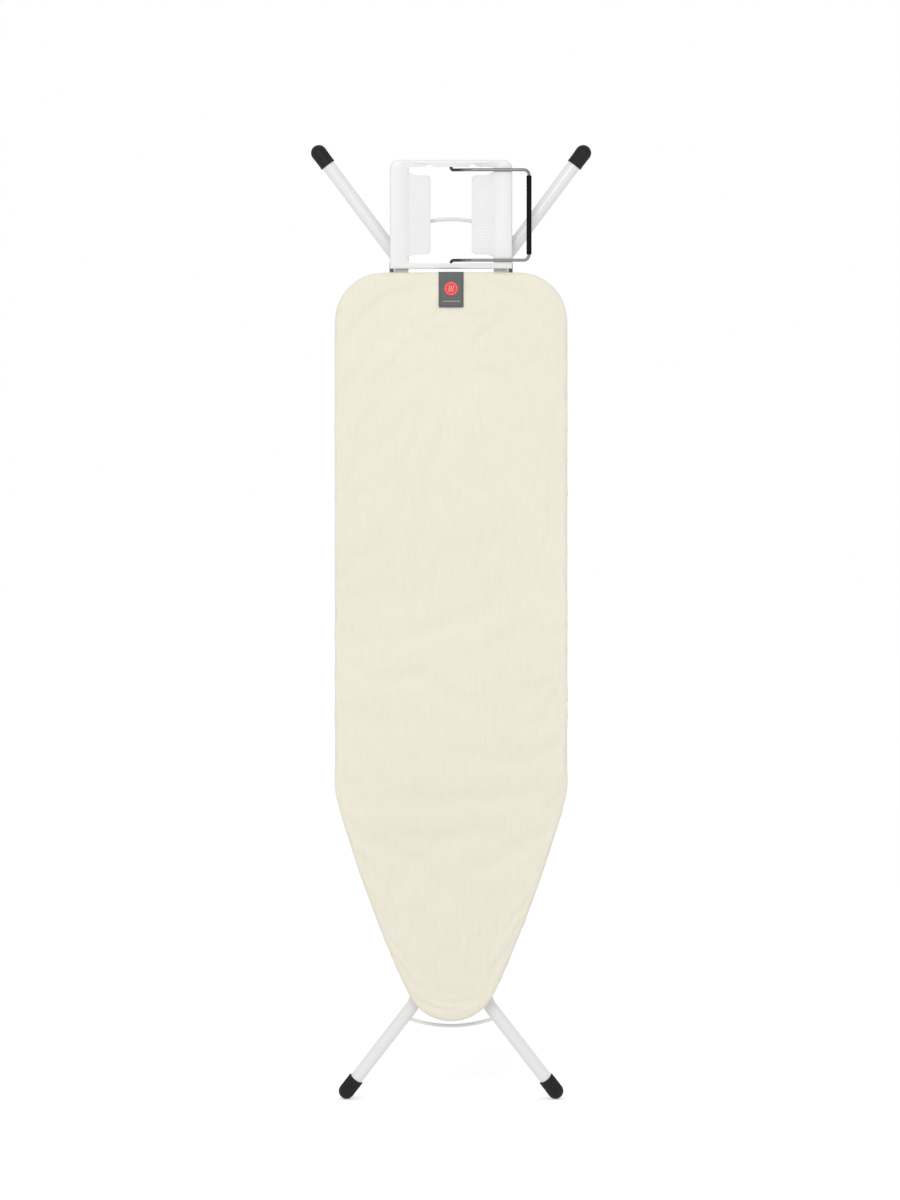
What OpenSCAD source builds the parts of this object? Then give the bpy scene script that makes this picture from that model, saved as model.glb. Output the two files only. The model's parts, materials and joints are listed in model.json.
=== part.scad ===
// Folding ironing board with crossed tube legs and a flat steam-iron rest.
// Shown folded and standing on its lower feet, ironing face toward -Y.
// Millimetres. X = across the board, Y = depth, Z = up along the board.
// "d" values are depths measured backward from the ironing face.

/* [Board] */
// length of the covered board
board_len = 1242; // [1100:1:1400]
// half width of the covered board
half_w = 192.5; // [150:0.5:230]
// height of the nose tip above the floor when folded
nose_z = 134; // [100:1:180]
// radius of the nose
nose_r = 78; // [60:1:100]
// angle turned by the nose arc, each side
nose_turn = 65; // [50:1:75]
// radius of the slightly convex taper
taper_r = 2000; // [1200:50:3000]
// angle between taper and side at the shoulder
shoulder_turn = 15; // [8:1:20]
// radius of the square end corners
corner_r = 80; // [40:1:120]
// cover cloth thickness
cover_t = 1.6; // [1:0.1:3]
// width of the hem turned under the board
hem_w = 38; // [25:1:60]
// foam pad thickness
foam_t = 5; // [3:0.5:10]
// expanded metal deck thickness
deck_t = 1; // [0.6:0.1:2]

/* [Frame] */
// depth of the roll-formed rim
rim_d = 14.4; // [10:0.2:20]
// front flange width of the rim
rim_w = 14; // [10:1:25]
// back lip width of the rim
rim_lip = 6; // [4:1:12]
// sheet thickness of rim and stays
sheet_t = 1.2; // [0.8:0.1:2]
// width of a cross stay
stay_w = 30; // [20:1:50]

/* [Legs] */
// leg tube outer diameter
tube_od = 22; // [18:0.5:28]
// leg tube wall
tube_wall = 1.2; // [0.8:0.1:2]
// folded height over the feet
total_h = 1588; // [1400:1:1700]
// half spacing of the outer frame tubes
leg_a_x = 84; // [70:1:110]
// half spacing of the inner frame tubes
leg_b_x = 57; // [45:1:68]
// height of the outer frame foot bend
bend_a_z = 1394; // [1350:1:1450]
// height of the inner frame foot bend
bend_b_z = 165; // [140:1:200]
// outward angle of the upper feet
foot_a_deg = 36.8; // [20:0.1:50]
// outward angle of the lower feet
foot_b_deg = 37.7; // [20:0.1:50]
// tangent length of the tube bends
bend_t = 15; // [10:1:30]
// depth of the leg tube centres
leg_d = 50; // [45:0.5:60]
// depth of the upper pivots
piv_d = 33; // [30:0.5:40]
// distance from centre pivot to each upper pivot, along the board
arm_z = 430; // [350:1:500]
// rubber foot cap diameter
cap_od = 26.5; // [24:0.5:32]
// rubber foot cap length
cap_len = 38.5; // [25:0.5:60]

/* [Iron rest] */
// half width of the rest plate
rest_w = 101; // [80:1:130]
// lower edge of the rest plate
rest_z0 = 1382; // [1378:1:1400]
// upper edge of the rest plate
rest_z1 = 1561.6; // [1500:0.2:1600]
// half width of the window in the plate
window_w = 73; // [60:1:85]
// pad inner edge
pad_x = 34; // [20:1:50]
// bail wire diameter
bail_od = 5; // [4:0.5:7]
// distance of the bail grip bar from its hinge
bail_reach = 128.7; // [110:0.1:140]

/* [View] */
// curve resolution
$fn = 48; // [24:8:96]

/* [Hidden] */

WHITE = [0.93, 0.93, 0.92];
CREAM = [0.94, 0.91, 0.84];
BLACK = [0.08, 0.08, 0.08];
GREY = [0.6, 0.6, 0.6];
STEEL = [0.75, 0.76, 0.78];

tube_r = tube_od / 2;
cap_r = cap_od / 2;
half_depth = (leg_d + cap_r) / 2;
mid_z = total_h / 2;
piv_lo_z = mid_z - arm_z;
piv_hi_z = mid_z + arm_z;
board_top = nose_z + board_len;

// depth stack
foam_d = cover_t;
deck_d = foam_d + foam_t;
rim_d0 = deck_d + deck_t;
rim_d1 = rim_d0 + rim_d;
stay_d1 = rim_d1 - sheet_t;
hem_d1 = rim_d1 + cover_t;

// board outline helpers: i = parallel inset
function nose_arc(i, s) = [for (k = [0 : 12]) let (a = nose_turn * k / 12)
  [s * (nose_r - i) * sin(a), nose_z + nose_r - (nose_r - i) * cos(a)]];
phi0 = 90 - nose_turn;
taper_cx = nose_r * sin(nose_turn) - taper_r * cos(phi0);
taper_cz = nose_z + nose_r * (1 - cos(nose_turn)) + taper_r * sin(phi0);
function taper_arc(i, s) = [for (k = [1 : 12]) let (a = phi0 + (shoulder_turn - phi0) * k / 12)
  [s * (taper_cx + (taper_r - i) * cos(a)), taper_cz - (taper_r - i) * sin(a)]];
shoulder_x = taper_cx + taper_r * cos(shoulder_turn);
shoulder_z = taper_cz - taper_r * sin(shoulder_turn);
shoulder_r = (half_w - shoulder_x) / (1 - cos(shoulder_turn));
shoulder_cz = shoulder_z + shoulder_r * sin(shoulder_turn);
function shoulder_arc(i, s) = [for (k = [1 : 5]) let (a = shoulder_turn * (1 - k / 5))
  [s * (half_w - shoulder_r + (shoulder_r - i) * cos(a)), shoulder_cz - (shoulder_r - i) * sin(a)]];
function corner_arc(i, s) = [for (k = [0 : 10]) let (a = 90 * k / 10)
  [s * (half_w - corner_r + (corner_r - i) * cos(a)), board_top - corner_r + (corner_r - i) * sin(a)]];
function side(i, s) = concat(nose_arc(i, s), taper_arc(i, s), shoulder_arc(i, s), corner_arc(i, s));
function rev(v) = [for (k = [len(v) - 1 : -1 : 1]) v[k]];

module outline(i) { polygon(concat(side(i, 1), rev(side(i, -1)))); }
module ring(i0, i1) { difference() { outline(i0); outline(i1); } }

// extrude a drawing in the XZ plane from depth d0 by t
module slab(d0, t) {
  translate([0, d0 + t - half_depth, 0]) rotate([90, 0, 0]) linear_extrude(t) children();
}
module rect(x0, x1, z0, z1) { translate([x0, z0]) square([x1 - x0, z1 - z0]); }
module box(x0, x1, d0, d1, z0, z1) {
  translate([x0, d0 - half_depth, z0]) cube([x1 - x0, d1 - d0, z1 - z0]);
}
module xrod(x0, x1, d, z, r) {
  translate([x0, d - half_depth, z]) rotate([0, 90, 0]) cylinder(h = x1 - x0, r = r);
}
module drod(x, d0, d1, z, r) {
  translate([x, d0 - half_depth, z]) rotate([-90, 0, 0]) cylinder(h = d1 - d0, r = r);
}
module zrod(x, d, z0, z1, r) { translate([x, d - half_depth, z0]) cylinder(h = z1 - z0, r = r); }
module xplate(x0, x1) {
  // drawing of (depth, height) extruded along X
  translate([x0, -half_depth, 0]) rotate([90, 0, 90]) linear_extrude(x1 - x0) children();
}
// bent bar in the XY plane about the origin; its ends reach just inside the straight bars it joins
bend_lap = 1;
bend_slim = 0.982;
module arc(r0, a0, turn, r) {
  rotate([0, 0, a0 - bend_lap]) rotate_extrude(angle = turn + 2 * bend_lap)
    translate([r0, 0]) circle(r * bend_slim);
}
module rounded(x0, x1, z0, z1, r) {
  rect(x0 + r, x1 - r, z0, z1);
  rect(x0, x1, z0 + r, z1 - r);
  for (x = [x0 + r, x1 - r]) for (z = [z0 + r, z1 - r]) translate([x, z]) circle(r);
}

// ---- cover, pad and deck
label_w = 20.5;
label_z0 = 1318;
label_t = 0.8;
module label_pocket() {
  box(-label_w, label_w, 0, label_t, label_z0, board_top);
  box(-label_w, label_w, 0, 20, board_top - label_t, board_top);
}
module cover() {
  color(CREAM) difference() {
    union() {
      slab(0, cover_t) outline(0);
      slab(cover_t, rim_d1 - cover_t) ring(0, cover_t);
      slab(rim_d1, cover_t) ring(0, hem_w);
    }
    label_pocket();
  }
}
patch_z = 1349;
patch_r = 11.5;
patch_t = 0.4;
module label() {
  color([0.35, 0.36, 0.37]) difference() {
    label_pocket();
    drod(0, 0, patch_t, patch_z, patch_r);
  }
}
module label_patch() { color([0.85, 0.2, 0.18]) drod(0, 0, patch_t, patch_z, patch_r); }
module foam_pad() { color([0.9, 0.9, 0.9]) slab(foam_d, foam_t) outline(cover_t); }

slot_w = 34;
slot_h = 30;
slot_pitch = 46;
slot_rows = 22;
slot_z0 = 240;
module mesh_deck() {
  color(STEEL) slab(deck_d, deck_t) difference() {
    outline(cover_t);
    intersection() {
      outline(24);
      for (k = [0 : slot_rows]) for (c = [-3 : 3])
        translate([c * slot_pitch, slot_z0 + k * slot_pitch]) square([slot_w, slot_h], center = true);
    }
  }
}

// ---- rim and cross stays
module rim_flange(over) { slab(rim_d0 - over, sheet_t + over) ring(cover_t - over, cover_t + rim_w); }
module rim_frame() {
  color(WHITE) union() {
    rim_flange(0);
    slab(rim_d0, rim_d) ring(cover_t, cover_t + sheet_t);
    slab(stay_d1, sheet_t) ring(cover_t, cover_t + rim_lip);
  }
}
module stay(z, w) {
  color(WHITE) difference() {
    intersection() {
      slab(rim_d0, stay_d1 - rim_d0) outline(cover_t + sheet_t);
      difference() {
        box(-half_w, half_w, rim_d0, stay_d1, z - w / 2, z + w / 2);
        box(-half_w, half_w, rim_d0, stay_d1 - sheet_t, z - w / 2 + sheet_t, z + w / 2 - sheet_t);
      }
    }
    slab(rim_d0, sheet_t) ring(cover_t, cover_t + rim_w);
  }
}
nose_stay_w = 40;
mid_stay_z = 620;
low_z = 882;
top_z = 1247;
end_z = 1315;
module stay_nose() { stay(piv_lo_z, nose_stay_w); }
module stay_mid() { stay(mid_stay_z, stay_w); }
module stay_low() { stay(low_z, stay_w); }
module stay_top() { stay(top_z, stay_w); }
module stay_end() { stay(end_z, stay_w); }

// ---- pivot brackets at the nose end
piv_r = 5;
run = 0.05;
ear_t = 2;
ear_x0 = 30;
ear_x1 = 97;
bracket_h = 30;
ear_d = 42;
module ear_shape() {
  difference() {
    rect(stay_d1, ear_d, piv_lo_z - bracket_h / 2, piv_lo_z + bracket_h / 2);
    translate([piv_d, piv_lo_z]) circle(piv_r + run);
  }
}
module pivot_bracket() {
  color(WHITE) union() {
    box(ear_x0, ear_x1, stay_d1, stay_d1 + ear_t, piv_lo_z - bracket_h / 2, piv_lo_z + bracket_h / 2);
    xplate(ear_x0, ear_x0 + ear_t) ear_shape();
    xplate(ear_x1 - ear_t, ear_x1) ear_shape();
  }
}
module pivot_bracket_r() { pivot_bracket(); }
module pivot_bracket_l() { mirror([1, 0, 0]) pivot_bracket(); }
RIVET_X = [42, 72];
rivet_t = 1.2;
rivet_r = 4.5;
module bracket_rivets() {
  color(STEEL) for (s = [-1, 1]) for (x = RIVET_X)
    drod(s * x, stay_d1 + ear_t, stay_d1 + ear_t + rivet_t, piv_lo_z, rivet_r);
}

// ---- slotted rail for the sliding crossbar
rail_w = 20;
rail_t = 1.5;
rail_z0 = 870;
rail_z1 = 1260;
rail_d1 = 42;
arm_true = sqrt(pow(arm_z, 2) + pow(leg_d - piv_d, 2));
lean = atan((leg_d - piv_d) / arm_z);
// height of the sliding crossbar when the legs are opened by a degrees
function stop_z(a) = piv_lo_z + 2 * arm_true * cos(lean + a);
OPEN_STOPS = [0, 31, 37, 43, 48.5];
travel = piv_hi_z - stop_z(48.5);
slot_gap = 0.3;
slot_over = 1.5;
module rail_wall() {
  difference() {
    rect(stay_d1, rail_d1, rail_z0, rail_z1);
    rect(piv_d - piv_r - slot_gap, piv_d + piv_r + slot_gap, piv_hi_z - travel - piv_r - slot_over,
      piv_hi_z + piv_r + slot_over);
  }
}
module rail() {
  color(WHITE) union() {
    box(-rail_w, rail_w, stay_d1, stay_d1 + rail_t, rail_z0, rail_z1);
    xplate(rail_w - rail_t, rail_w) rail_wall();
    xplate(-rail_w, -rail_w + rail_t) rail_wall();
  }
}
rail_rivet_x = 9;
rail_rivet_r = 4;
module rail_rivets() {
  color(STEEL) for (z = [low_z - 2, top_z + 2]) for (x = [-rail_rivet_x, rail_rivet_x])
    drod(x, stay_d1 + rail_t, stay_d1 + rail_t + 1, z, rail_rivet_r);
}
shoe_x = 18.2;
shoe_d0 = 22.9;
shoe_d1 = 40.5;
shoe_h = 30;
module slider_shoe() {
  color(BLACK) difference() {
    box(-shoe_x, shoe_x, shoe_d0, shoe_d1, piv_hi_z - shoe_h / 2, piv_hi_z + shoe_h / 2);
    xrod(-shoe_x - 1, shoe_x + 1, piv_d, piv_hi_z, piv_r + run);
  }
}

// ---- height lever: a comb on a turning rod
comb_x = 40;
comb_d = 44;
comb_r = 3;
comb_tip = 14;
comb_z0 = 893;
comb_z1 = 1235;
comb_rest = 75;
lever_z = 1335;
crank_len = 27;
crank_deg = -10;
bearing_in = 5.5;
bearing_out = 5;
bearing_half = 6;
module bearing(z) {
  color(BLACK) difference() {
    box(comb_x - bearing_in, comb_x + bearing_out, stay_d1, comb_d + bearing_half, z - bearing_half,
      z + bearing_half);
    zrod(comb_x, comb_d, z - bearing_half - 1, z + bearing_half + 1, comb_r + run);
  }
}
module bearing_low() { bearing(low_z + 2); }
module bearing_top() { bearing(top_z - 3); }
module about_comb(a) { translate([comb_x, comb_d - half_depth, 0]) rotate([0, 0, a]) children(); }
crank_r = 8;
module rack_lever() {
  color(STEEL) union() {
    about_comb(0) translate([0, 0, low_z - 8]) cylinder(h = lever_z - crank_r - low_z + 8, r = comb_r);
    about_comb(-comb_rest) difference() {
      translate([-1, -comb_tip, comb_z0]) cube([2, comb_tip, comb_z1 - comb_z0]);
      for (a = OPEN_STOPS) translate([-2, -comb_tip - 1, stop_z(a) - piv_r - slot_gap])
        cube([4, comb_tip + 1 + piv_d + piv_r + 0.6 - comb_d, 2 * (piv_r + slot_gap)]);
    }
    about_comb(crank_deg) translate([crank_r, 0, lever_z - crank_r]) {
      rotate([90, 0, 0]) arc(crank_r, 90, 90, comb_r);
      translate([0, 0, crank_r]) rotate([0, 90, 0]) cylinder(h = crank_len - crank_r, r = comb_r);
    }
  }
}
grip_start = 9;
grip_over = 2;
grip_r = 5.5;
module lever_grip() {
  color(BLACK) about_comb(crank_deg) translate([0, 0, lever_z]) rotate([0, 90, 0]) difference() {
    translate([0, 0, grip_start]) cylinder(h = crank_len + grip_over - grip_start, r = grip_r);
    translate([0, 0, grip_start - 1]) cylinder(h = crank_len - grip_start + 1, r = comb_r);
  }
}

// ---- iron rest
plate_d = 8;
plate_t = 1.2;
skirt_d1 = hem_d1;
plate_r = 13;
member_lo = 1391;
member_hi = 1550;
pad_z0 = 1406;
pad_z1 = 1536;
pad_t = 2;
pad_lap = 6;
arm_x0 = 70.5;
arm_x1 = 90.5;
arm_t = 3;
bail_r = bail_od / 2;
hinge_d = 16;
bail_d = 5;
bail_hi = 1545;
bail_lo = 1396;
stub_len = 12;
stub_room = 0.5;
hinge_lug = 6;
window_r = 4;
notch_x = 36;
notch_r = 8;
module plate_outline(i) {
  rect(-rest_w + i, rest_w - i, rest_z0 + i, rest_z1 - plate_r);
  rect(-rest_w + plate_r, rest_w - plate_r, rest_z0 + i, rest_z1 - i);
  for (s = [-1, 1]) translate([s * (rest_w - plate_r), rest_z1 - plate_r]) circle(plate_r - i);
}
module rest_plate() {
  color(WHITE) difference() {
    union() {
      slab(plate_d, plate_t) difference() {
        plate_outline(0);
        rounded(-window_w, window_w, member_lo, member_hi, window_r);
        for (s = [-1, 1]) translate([s * notch_x, member_hi - window_r]) circle(notch_r);
      }
      slab(plate_d + plate_t, skirt_d1 - plate_d - plate_t) difference() {
        plate_outline(0);
        plate_outline(plate_t);
      }
      box(-hinge_lug, hinge_lug, plate_d + plate_t, hinge_d + hinge_lug, member_hi + 1, rest_z1 - plate_t);
      box(-hinge_lug, hinge_lug, plate_d + plate_t, hinge_d + hinge_lug, rest_z0 + plate_t, member_lo - 0.5);
    }
    zrod(0, hinge_d, member_hi, bail_hi + stub_len + stub_room, bail_r + run);
    zrod(0, hinge_d, bail_lo - stub_len - stub_room, member_lo, bail_r + run);
  }
}
// two diamonds of small studs on the face of the right pad
DOT_ROWS = [1, 2, 3, 4, 3, 2, 1];
dot_x = 52;
dot_step_x = 6;
dot_step_z = 5;
dot_h = 0.5;
dot_r = 1.3;
dots_hi = 1502;
dots_lo = 1440;
module dots(z) {
  for (k = [0 : 6]) for (j = [0 : DOT_ROWS[k] - 1])
    drod(dot_x + (j - (DOT_ROWS[k] - 1) / 2) * dot_step_x, plate_d + plate_t - dot_h,
      plate_d + plate_t, z + (k - 3) * dot_step_z, dot_r);
}
pad_r = 6;
module rest_pad() {
  slab(plate_d + plate_t, pad_t) rounded(pad_x, window_w + pad_lap, pad_z0, pad_z1, pad_r);
}
module rest_pad_l() { color(WHITE) mirror([1, 0, 0]) rest_pad(); }
module rest_pad_r() {
  color(WHITE) union() {
    rest_pad();
    dots(dots_hi);
    dots(dots_lo);
  }
}
arm_z0 = 1230;
arm_boss_r = 8;
module rest_arm() {
  color(WHITE) union() {
    box(arm_x0, arm_x1, hem_d1, hem_d1 + arm_t, arm_z0, rest_z1);
    for (z = [top_z, end_z]) drod((arm_x0 + arm_x1) / 2, stay_d1, hem_d1, z, arm_boss_r);
  }
}
module rest_arm_r() { rest_arm(); }
module rest_arm_l() { mirror([1, 0, 0]) rest_arm(); }
screw_t = 3;
screw_r = 5;
module rest_screws() {
  color(STEEL) for (s = [-1, 1]) for (z = [top_z, end_z])
    drod(s * (arm_x0 + arm_x1) / 2, hem_d1 + arm_t, hem_d1 + arm_t + screw_t, z, screw_r);
}
// U clip beside each arm, open downward to take the cover's hem
clip_x1 = 103.5;
clip_z0 = 1366;
clip_z1 = 1386;
clip_jaw = 3;
clip_mouth = 2;
clip_web = 6;
module cover_clip() {
  color(BLACK) difference() {
    box(arm_x1, clip_x1, hem_d1, hem_d1 + 2 * clip_jaw + clip_mouth, clip_z0, clip_z1);
    box(arm_x1 - 1, clip_x1 + 1, hem_d1 + clip_jaw, hem_d1 + clip_jaw + clip_mouth, clip_z0 - 1,
      clip_z1 - clip_web);
  }
}
module cover_clip_r() { cover_clip(); }
module cover_clip_l() { mirror([1, 0, 0]) cover_clip(); }

// bail: two arms and a grip bar, hinged on stubs behind the plate
knee_x = 34;
arm_len = sqrt(pow(knee_x, 2) + pow(hinge_d - bail_d, 2));
arm_deg = atan((hinge_d - bail_d) / knee_x);
corner = 9;
stub_r = 4;
knee_t = 2;
module bail_half() {
  // z = 0 at the arm centre line, the stub points up
  knee_r = knee_t / tan(arm_deg / 2);
  zrod(0, hinge_d, stub_r, stub_len, bail_r);
  translate([0, hinge_d - half_depth, 0]) rotate([0, 0, -arm_deg]) {
    translate([stub_r, 0, stub_r]) rotate([90, 0, 0]) arc(stub_r, 180, 90, bail_r);
    translate([stub_r, 0, 0]) rotate([0, 90, 0]) cylinder(h = arm_len - stub_r - knee_t, r = bail_r);
  }
  translate([knee_x + knee_t, bail_d - half_depth + knee_r, 0])
    arc(knee_r, 270 - arm_deg, arm_deg, bail_r);
  xrod(knee_x + knee_t, bail_reach - corner, bail_d, 0, bail_r);
  translate([bail_reach - corner, bail_d - half_depth, -corner]) rotate([90, 0, 0])
    arc(corner, 0, 90, bail_r);
}
module bail_wire() {
  color(STEEL) union() {
    translate([0, 0, bail_hi]) bail_half();
    translate([0, 0, bail_lo]) mirror([0, 0, 1]) bail_half();
    zrod(bail_reach, bail_d, bail_lo + corner, bail_hi - corner, bail_r);
  }
}
sleeve_r = 4.25;
sleeve_gap = 0.3;
module bail_sleeve() {
  color(BLACK) difference() {
    zrod(bail_reach, bail_d, bail_lo + corner + sleeve_gap, bail_hi - corner - sleeve_gap, sleeve_r);
    zrod(bail_reach, bail_d, bail_lo + corner, bail_hi - corner, bail_r);
  }
}

// ---- leg tubes
// one leg about its bend: straight below for down, then outward at deg for along
module leg_bar(down, deg, along, r) {
  t_r = bend_t / tan(deg / 2);
  translate([0, 0, -down]) cylinder(h = down - bend_t, r = r);
  translate([t_r, 0, -bend_t]) rotate([90, 0, 0]) arc(t_r, 180 - deg, deg, r);
  rotate([0, deg, 0]) translate([0, 0, bend_t]) cylinder(h = along - bend_t, r = r);
}
module leg_path(down, deg, along) {
  difference() {
    leg_bar(down, deg, along, tube_r);
    leg_bar(down + 1, deg, along + 1, tube_r - tube_wall);
  }
}
leg_a_run = round((total_h - cap_r - bend_a_z) / cos(foot_a_deg) * 100) / 100;
leg_b_run = round((bend_b_z - cap_r) / cos(foot_b_deg) * 100) / 100;
lug_t = 4;
lug_r = 9.5;
lug_gap = 31;
lug_in = 24;
lug_half = 10.2;
bolt_r = 4;
module lug_shape() {
  // drawing of (depth, distance from the pivot along the leg)
  difference() {
    union() {
      translate([piv_d, 0]) circle(lug_r);
      polygon([[piv_d - lug_r, 0], [piv_d + lug_r, 0], [leg_d + lug_half, lug_gap],
        [leg_d + lug_half, lug_gap + lug_in], [leg_d - lug_half, lug_gap + lug_in], [leg_d - lug_half, lug_gap]]);
    }
    translate([piv_d, 0]) circle(piv_r);
  }
}
module leg_a_tube() {
  color(WHITE) difference() {
    union() {
      translate([leg_a_x, leg_d - half_depth, bend_a_z])
        leg_path(bend_a_z - piv_lo_z - lug_gap, foot_a_deg, leg_a_run);
      translate([0, 0, piv_lo_z]) xplate(leg_a_x - lug_t / 2, leg_a_x + lug_t / 2) lug_shape();
    }
    xrod(leg_a_x - tube_od, leg_a_x + tube_od, leg_d, mid_z, bolt_r);
  }
}
module leg_a_tube_r() { leg_a_tube(); }
module leg_a_tube_l() { mirror([1, 0, 0]) leg_a_tube(); }
module leg_b_tube() {
  color(WHITE) difference() {
    union() {
      translate([leg_b_x, leg_d - half_depth, bend_b_z]) mirror([0, 0, 1])
        leg_path(piv_hi_z - lug_gap - bend_b_z, foot_b_deg, leg_b_run);
      translate([0, 0, piv_hi_z]) mirror([0, 0, 1])
        xplate(leg_b_x - lug_t / 2, leg_b_x + lug_t / 2) lug_shape();
    }
    xrod(leg_b_x - tube_od, leg_b_x + tube_od, leg_d, mid_z, bolt_r + run);
  }
}
module leg_b_tube_r() { leg_b_tube(); }
module leg_b_tube_l() { mirror([1, 0, 0]) leg_b_tube(); }

// bowed tie rods between the foot bends
rod_r = 3;
// solid rod on the line of a foot, for trimming the tie rod ends
module foot_line(x, zb, deg, up) {
  translate([x, leg_d - half_depth, zb]) rotate([0, up > 0 ? deg : 180 - deg, 0])
    translate([0, 0, -20]) cylinder(h = 140, r = tube_r);
}
tie_a_x = 108;
tie_a_r = 186.6;
tie_a_top = 1465;
module leg_a_rod() {
  a = asin(tie_a_x / tie_a_r);
  color(WHITE) difference() {
    translate([0, leg_d - half_depth, tie_a_top - tie_a_r]) rotate([90, 0, 0])
      rotate([0, 0, 90 - a]) rotate_extrude(angle = 2 * a) translate([tie_a_r, 0]) circle(rod_r);
    foot_line(leg_a_x, bend_a_z, foot_a_deg, 1);
    mirror([1, 0, 0]) foot_line(leg_a_x, bend_a_z, foot_a_deg, 1);
  }
}
tie_b_x = 72;
tie_b_r = 213.6;
tie_b_low = 122.5;
module leg_b_rod() {
  a = asin(tie_b_x / tie_b_r);
  color(WHITE) difference() {
    translate([0, leg_d - half_depth, tie_b_low + tie_b_r]) rotate([90, 0, 0])
      rotate([0, 0, 270 - a]) rotate_extrude(angle = 2 * a) translate([tie_b_r, 0]) circle(rod_r);
    foot_line(leg_b_x, bend_b_z, foot_b_deg, -1);
    mirror([1, 0, 0]) foot_line(leg_b_x, bend_b_z, foot_b_deg, -1);
  }
}

pivot_half = 102;
pivot_cap_t = 2;
pivot_cap_rad = 8;
module pivot_rod() { color(STEEL) xrod(-pivot_half, pivot_half, piv_d, piv_lo_z, piv_r); }
module pivot_cap() {
  color(BLACK) difference() {
    xrod(ear_x1 + 0.5, pivot_half + pivot_cap_t, piv_d, piv_lo_z, pivot_cap_rad);
    xrod(ear_x1, pivot_half, piv_d, piv_lo_z, piv_r);
  }
}
module pivot_cap_r() { pivot_cap(); }
module pivot_cap_l() { mirror([1, 0, 0]) pivot_cap(); }
crossbar_half = 61;
module crossbar() { color(STEEL) xrod(-crossbar_half, crossbar_half, piv_d, piv_hi_z, piv_r); }

bolt_x0 = 39;
head_t = 4;
head_r = 7.5;
nut_r = 7;
module centre_bolt() {
  color(STEEL) union() {
    xrod(bolt_x0, leg_a_x + tube_r, leg_d, mid_z, bolt_r);
    xrod(leg_a_x + tube_r, leg_a_x + tube_r + head_t, leg_d, mid_z, head_r);
    xrod(bolt_x0, leg_b_x - tube_r - 0.5, leg_d, mid_z, nut_r);
  }
}
module centre_bolt_r() { centre_bolt(); }
module centre_bolt_l() { mirror([1, 0, 0]) centre_bolt(); }
spacer_rad = 9;
// the spacer's outer end is saddled on the outer tube
module spacer() {
  color(BLACK) difference() {
    xrod(leg_b_x + tube_r + 0.3, leg_a_x - tube_r + 3, leg_d, mid_z, spacer_rad);
    xrod(leg_b_x, leg_a_x, leg_d, mid_z, bolt_r);
    zrod(leg_a_x, leg_d, mid_z - spacer_rad - 3, mid_z + spacer_rad + 3, tube_r);
  }
}
module spacer_r() { spacer(); }
module spacer_l() { mirror([1, 0, 0]) spacer(); }

// ---- rubber foot caps; local +Z runs along the tube, 0 at the tube end
module cap_body() {
  difference() {
    union() {
      translate([0, 0, cap_r - cap_len]) cylinder(h = cap_len - cap_r, r = cap_r);
      sphere(cap_r);
    }
    translate([0, 0, cap_r - cap_len - 1]) cylinder(h = cap_len - cap_r + 1, r = tube_r);
  }
}
module cap_a() {
  color(BLACK) translate([leg_a_x, leg_d - half_depth, bend_a_z]) rotate([0, foot_a_deg, 0])
    translate([0, 0, leg_a_run]) cap_body();
}
module cap_b() {
  color(BLACK) translate([leg_b_x, leg_d - half_depth, bend_b_z]) rotate([0, 180 - foot_b_deg, 0])
    translate([0, 0, leg_b_run]) cap_body();
}
module cap_a_r() { cap_a(); }
module cap_a_l() { mirror([1, 0, 0]) cap_a(); }
module cap_b_r() { cap_b(); }
module cap_b_l() { mirror([1, 0, 0]) cap_b(); }

cover();
foam_pad();
mesh_deck();
rim_frame();
stay_nose();
stay_mid();
stay_low();
stay_top();
stay_end();
pivot_bracket_l();
pivot_bracket_r();
bracket_rivets();
rail();
rail_rivets();
bearing_low();
bearing_top();
rest_plate();
rest_pad_l();
rest_pad_r();
rest_arm_l();
rest_arm_r();
rest_screws();
cover_clip_l();
cover_clip_r();
label();
label_patch();
leg_a_tube_l();
leg_a_tube_r();
leg_a_rod();
pivot_rod();
pivot_cap_l();
pivot_cap_r();
cap_a_l();
cap_a_r();
centre_bolt_l();
centre_bolt_r();
spacer_l();
spacer_r();
leg_b_tube_l();
leg_b_tube_r();
leg_b_rod();
crossbar();
cap_b_l();
cap_b_r();
slider_shoe();
rack_lever();
lever_grip();
bail_wire();
bail_sleeve();
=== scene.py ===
"""Looks of a folding ironing board around its CAD frame. Metres, +Z up, ironing face toward -Y."""

import json
import math

import bmesh
import bpy
import numpy as np
from mathutils import Matrix, Vector, noise


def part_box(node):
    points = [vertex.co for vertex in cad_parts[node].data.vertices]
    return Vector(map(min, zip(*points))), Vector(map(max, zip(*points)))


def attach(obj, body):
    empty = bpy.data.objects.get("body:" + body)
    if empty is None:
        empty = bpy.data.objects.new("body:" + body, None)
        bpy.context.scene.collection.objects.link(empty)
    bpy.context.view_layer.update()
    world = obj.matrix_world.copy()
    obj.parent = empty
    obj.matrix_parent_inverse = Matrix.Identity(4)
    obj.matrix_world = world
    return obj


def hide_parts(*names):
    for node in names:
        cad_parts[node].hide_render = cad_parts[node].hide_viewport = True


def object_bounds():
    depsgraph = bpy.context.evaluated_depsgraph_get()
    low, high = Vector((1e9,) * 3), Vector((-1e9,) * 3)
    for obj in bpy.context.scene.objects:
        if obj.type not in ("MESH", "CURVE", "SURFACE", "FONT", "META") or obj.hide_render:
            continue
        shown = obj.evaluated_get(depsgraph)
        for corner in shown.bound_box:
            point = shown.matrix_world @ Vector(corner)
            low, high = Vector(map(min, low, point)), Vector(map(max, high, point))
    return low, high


MM = 0.001
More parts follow.
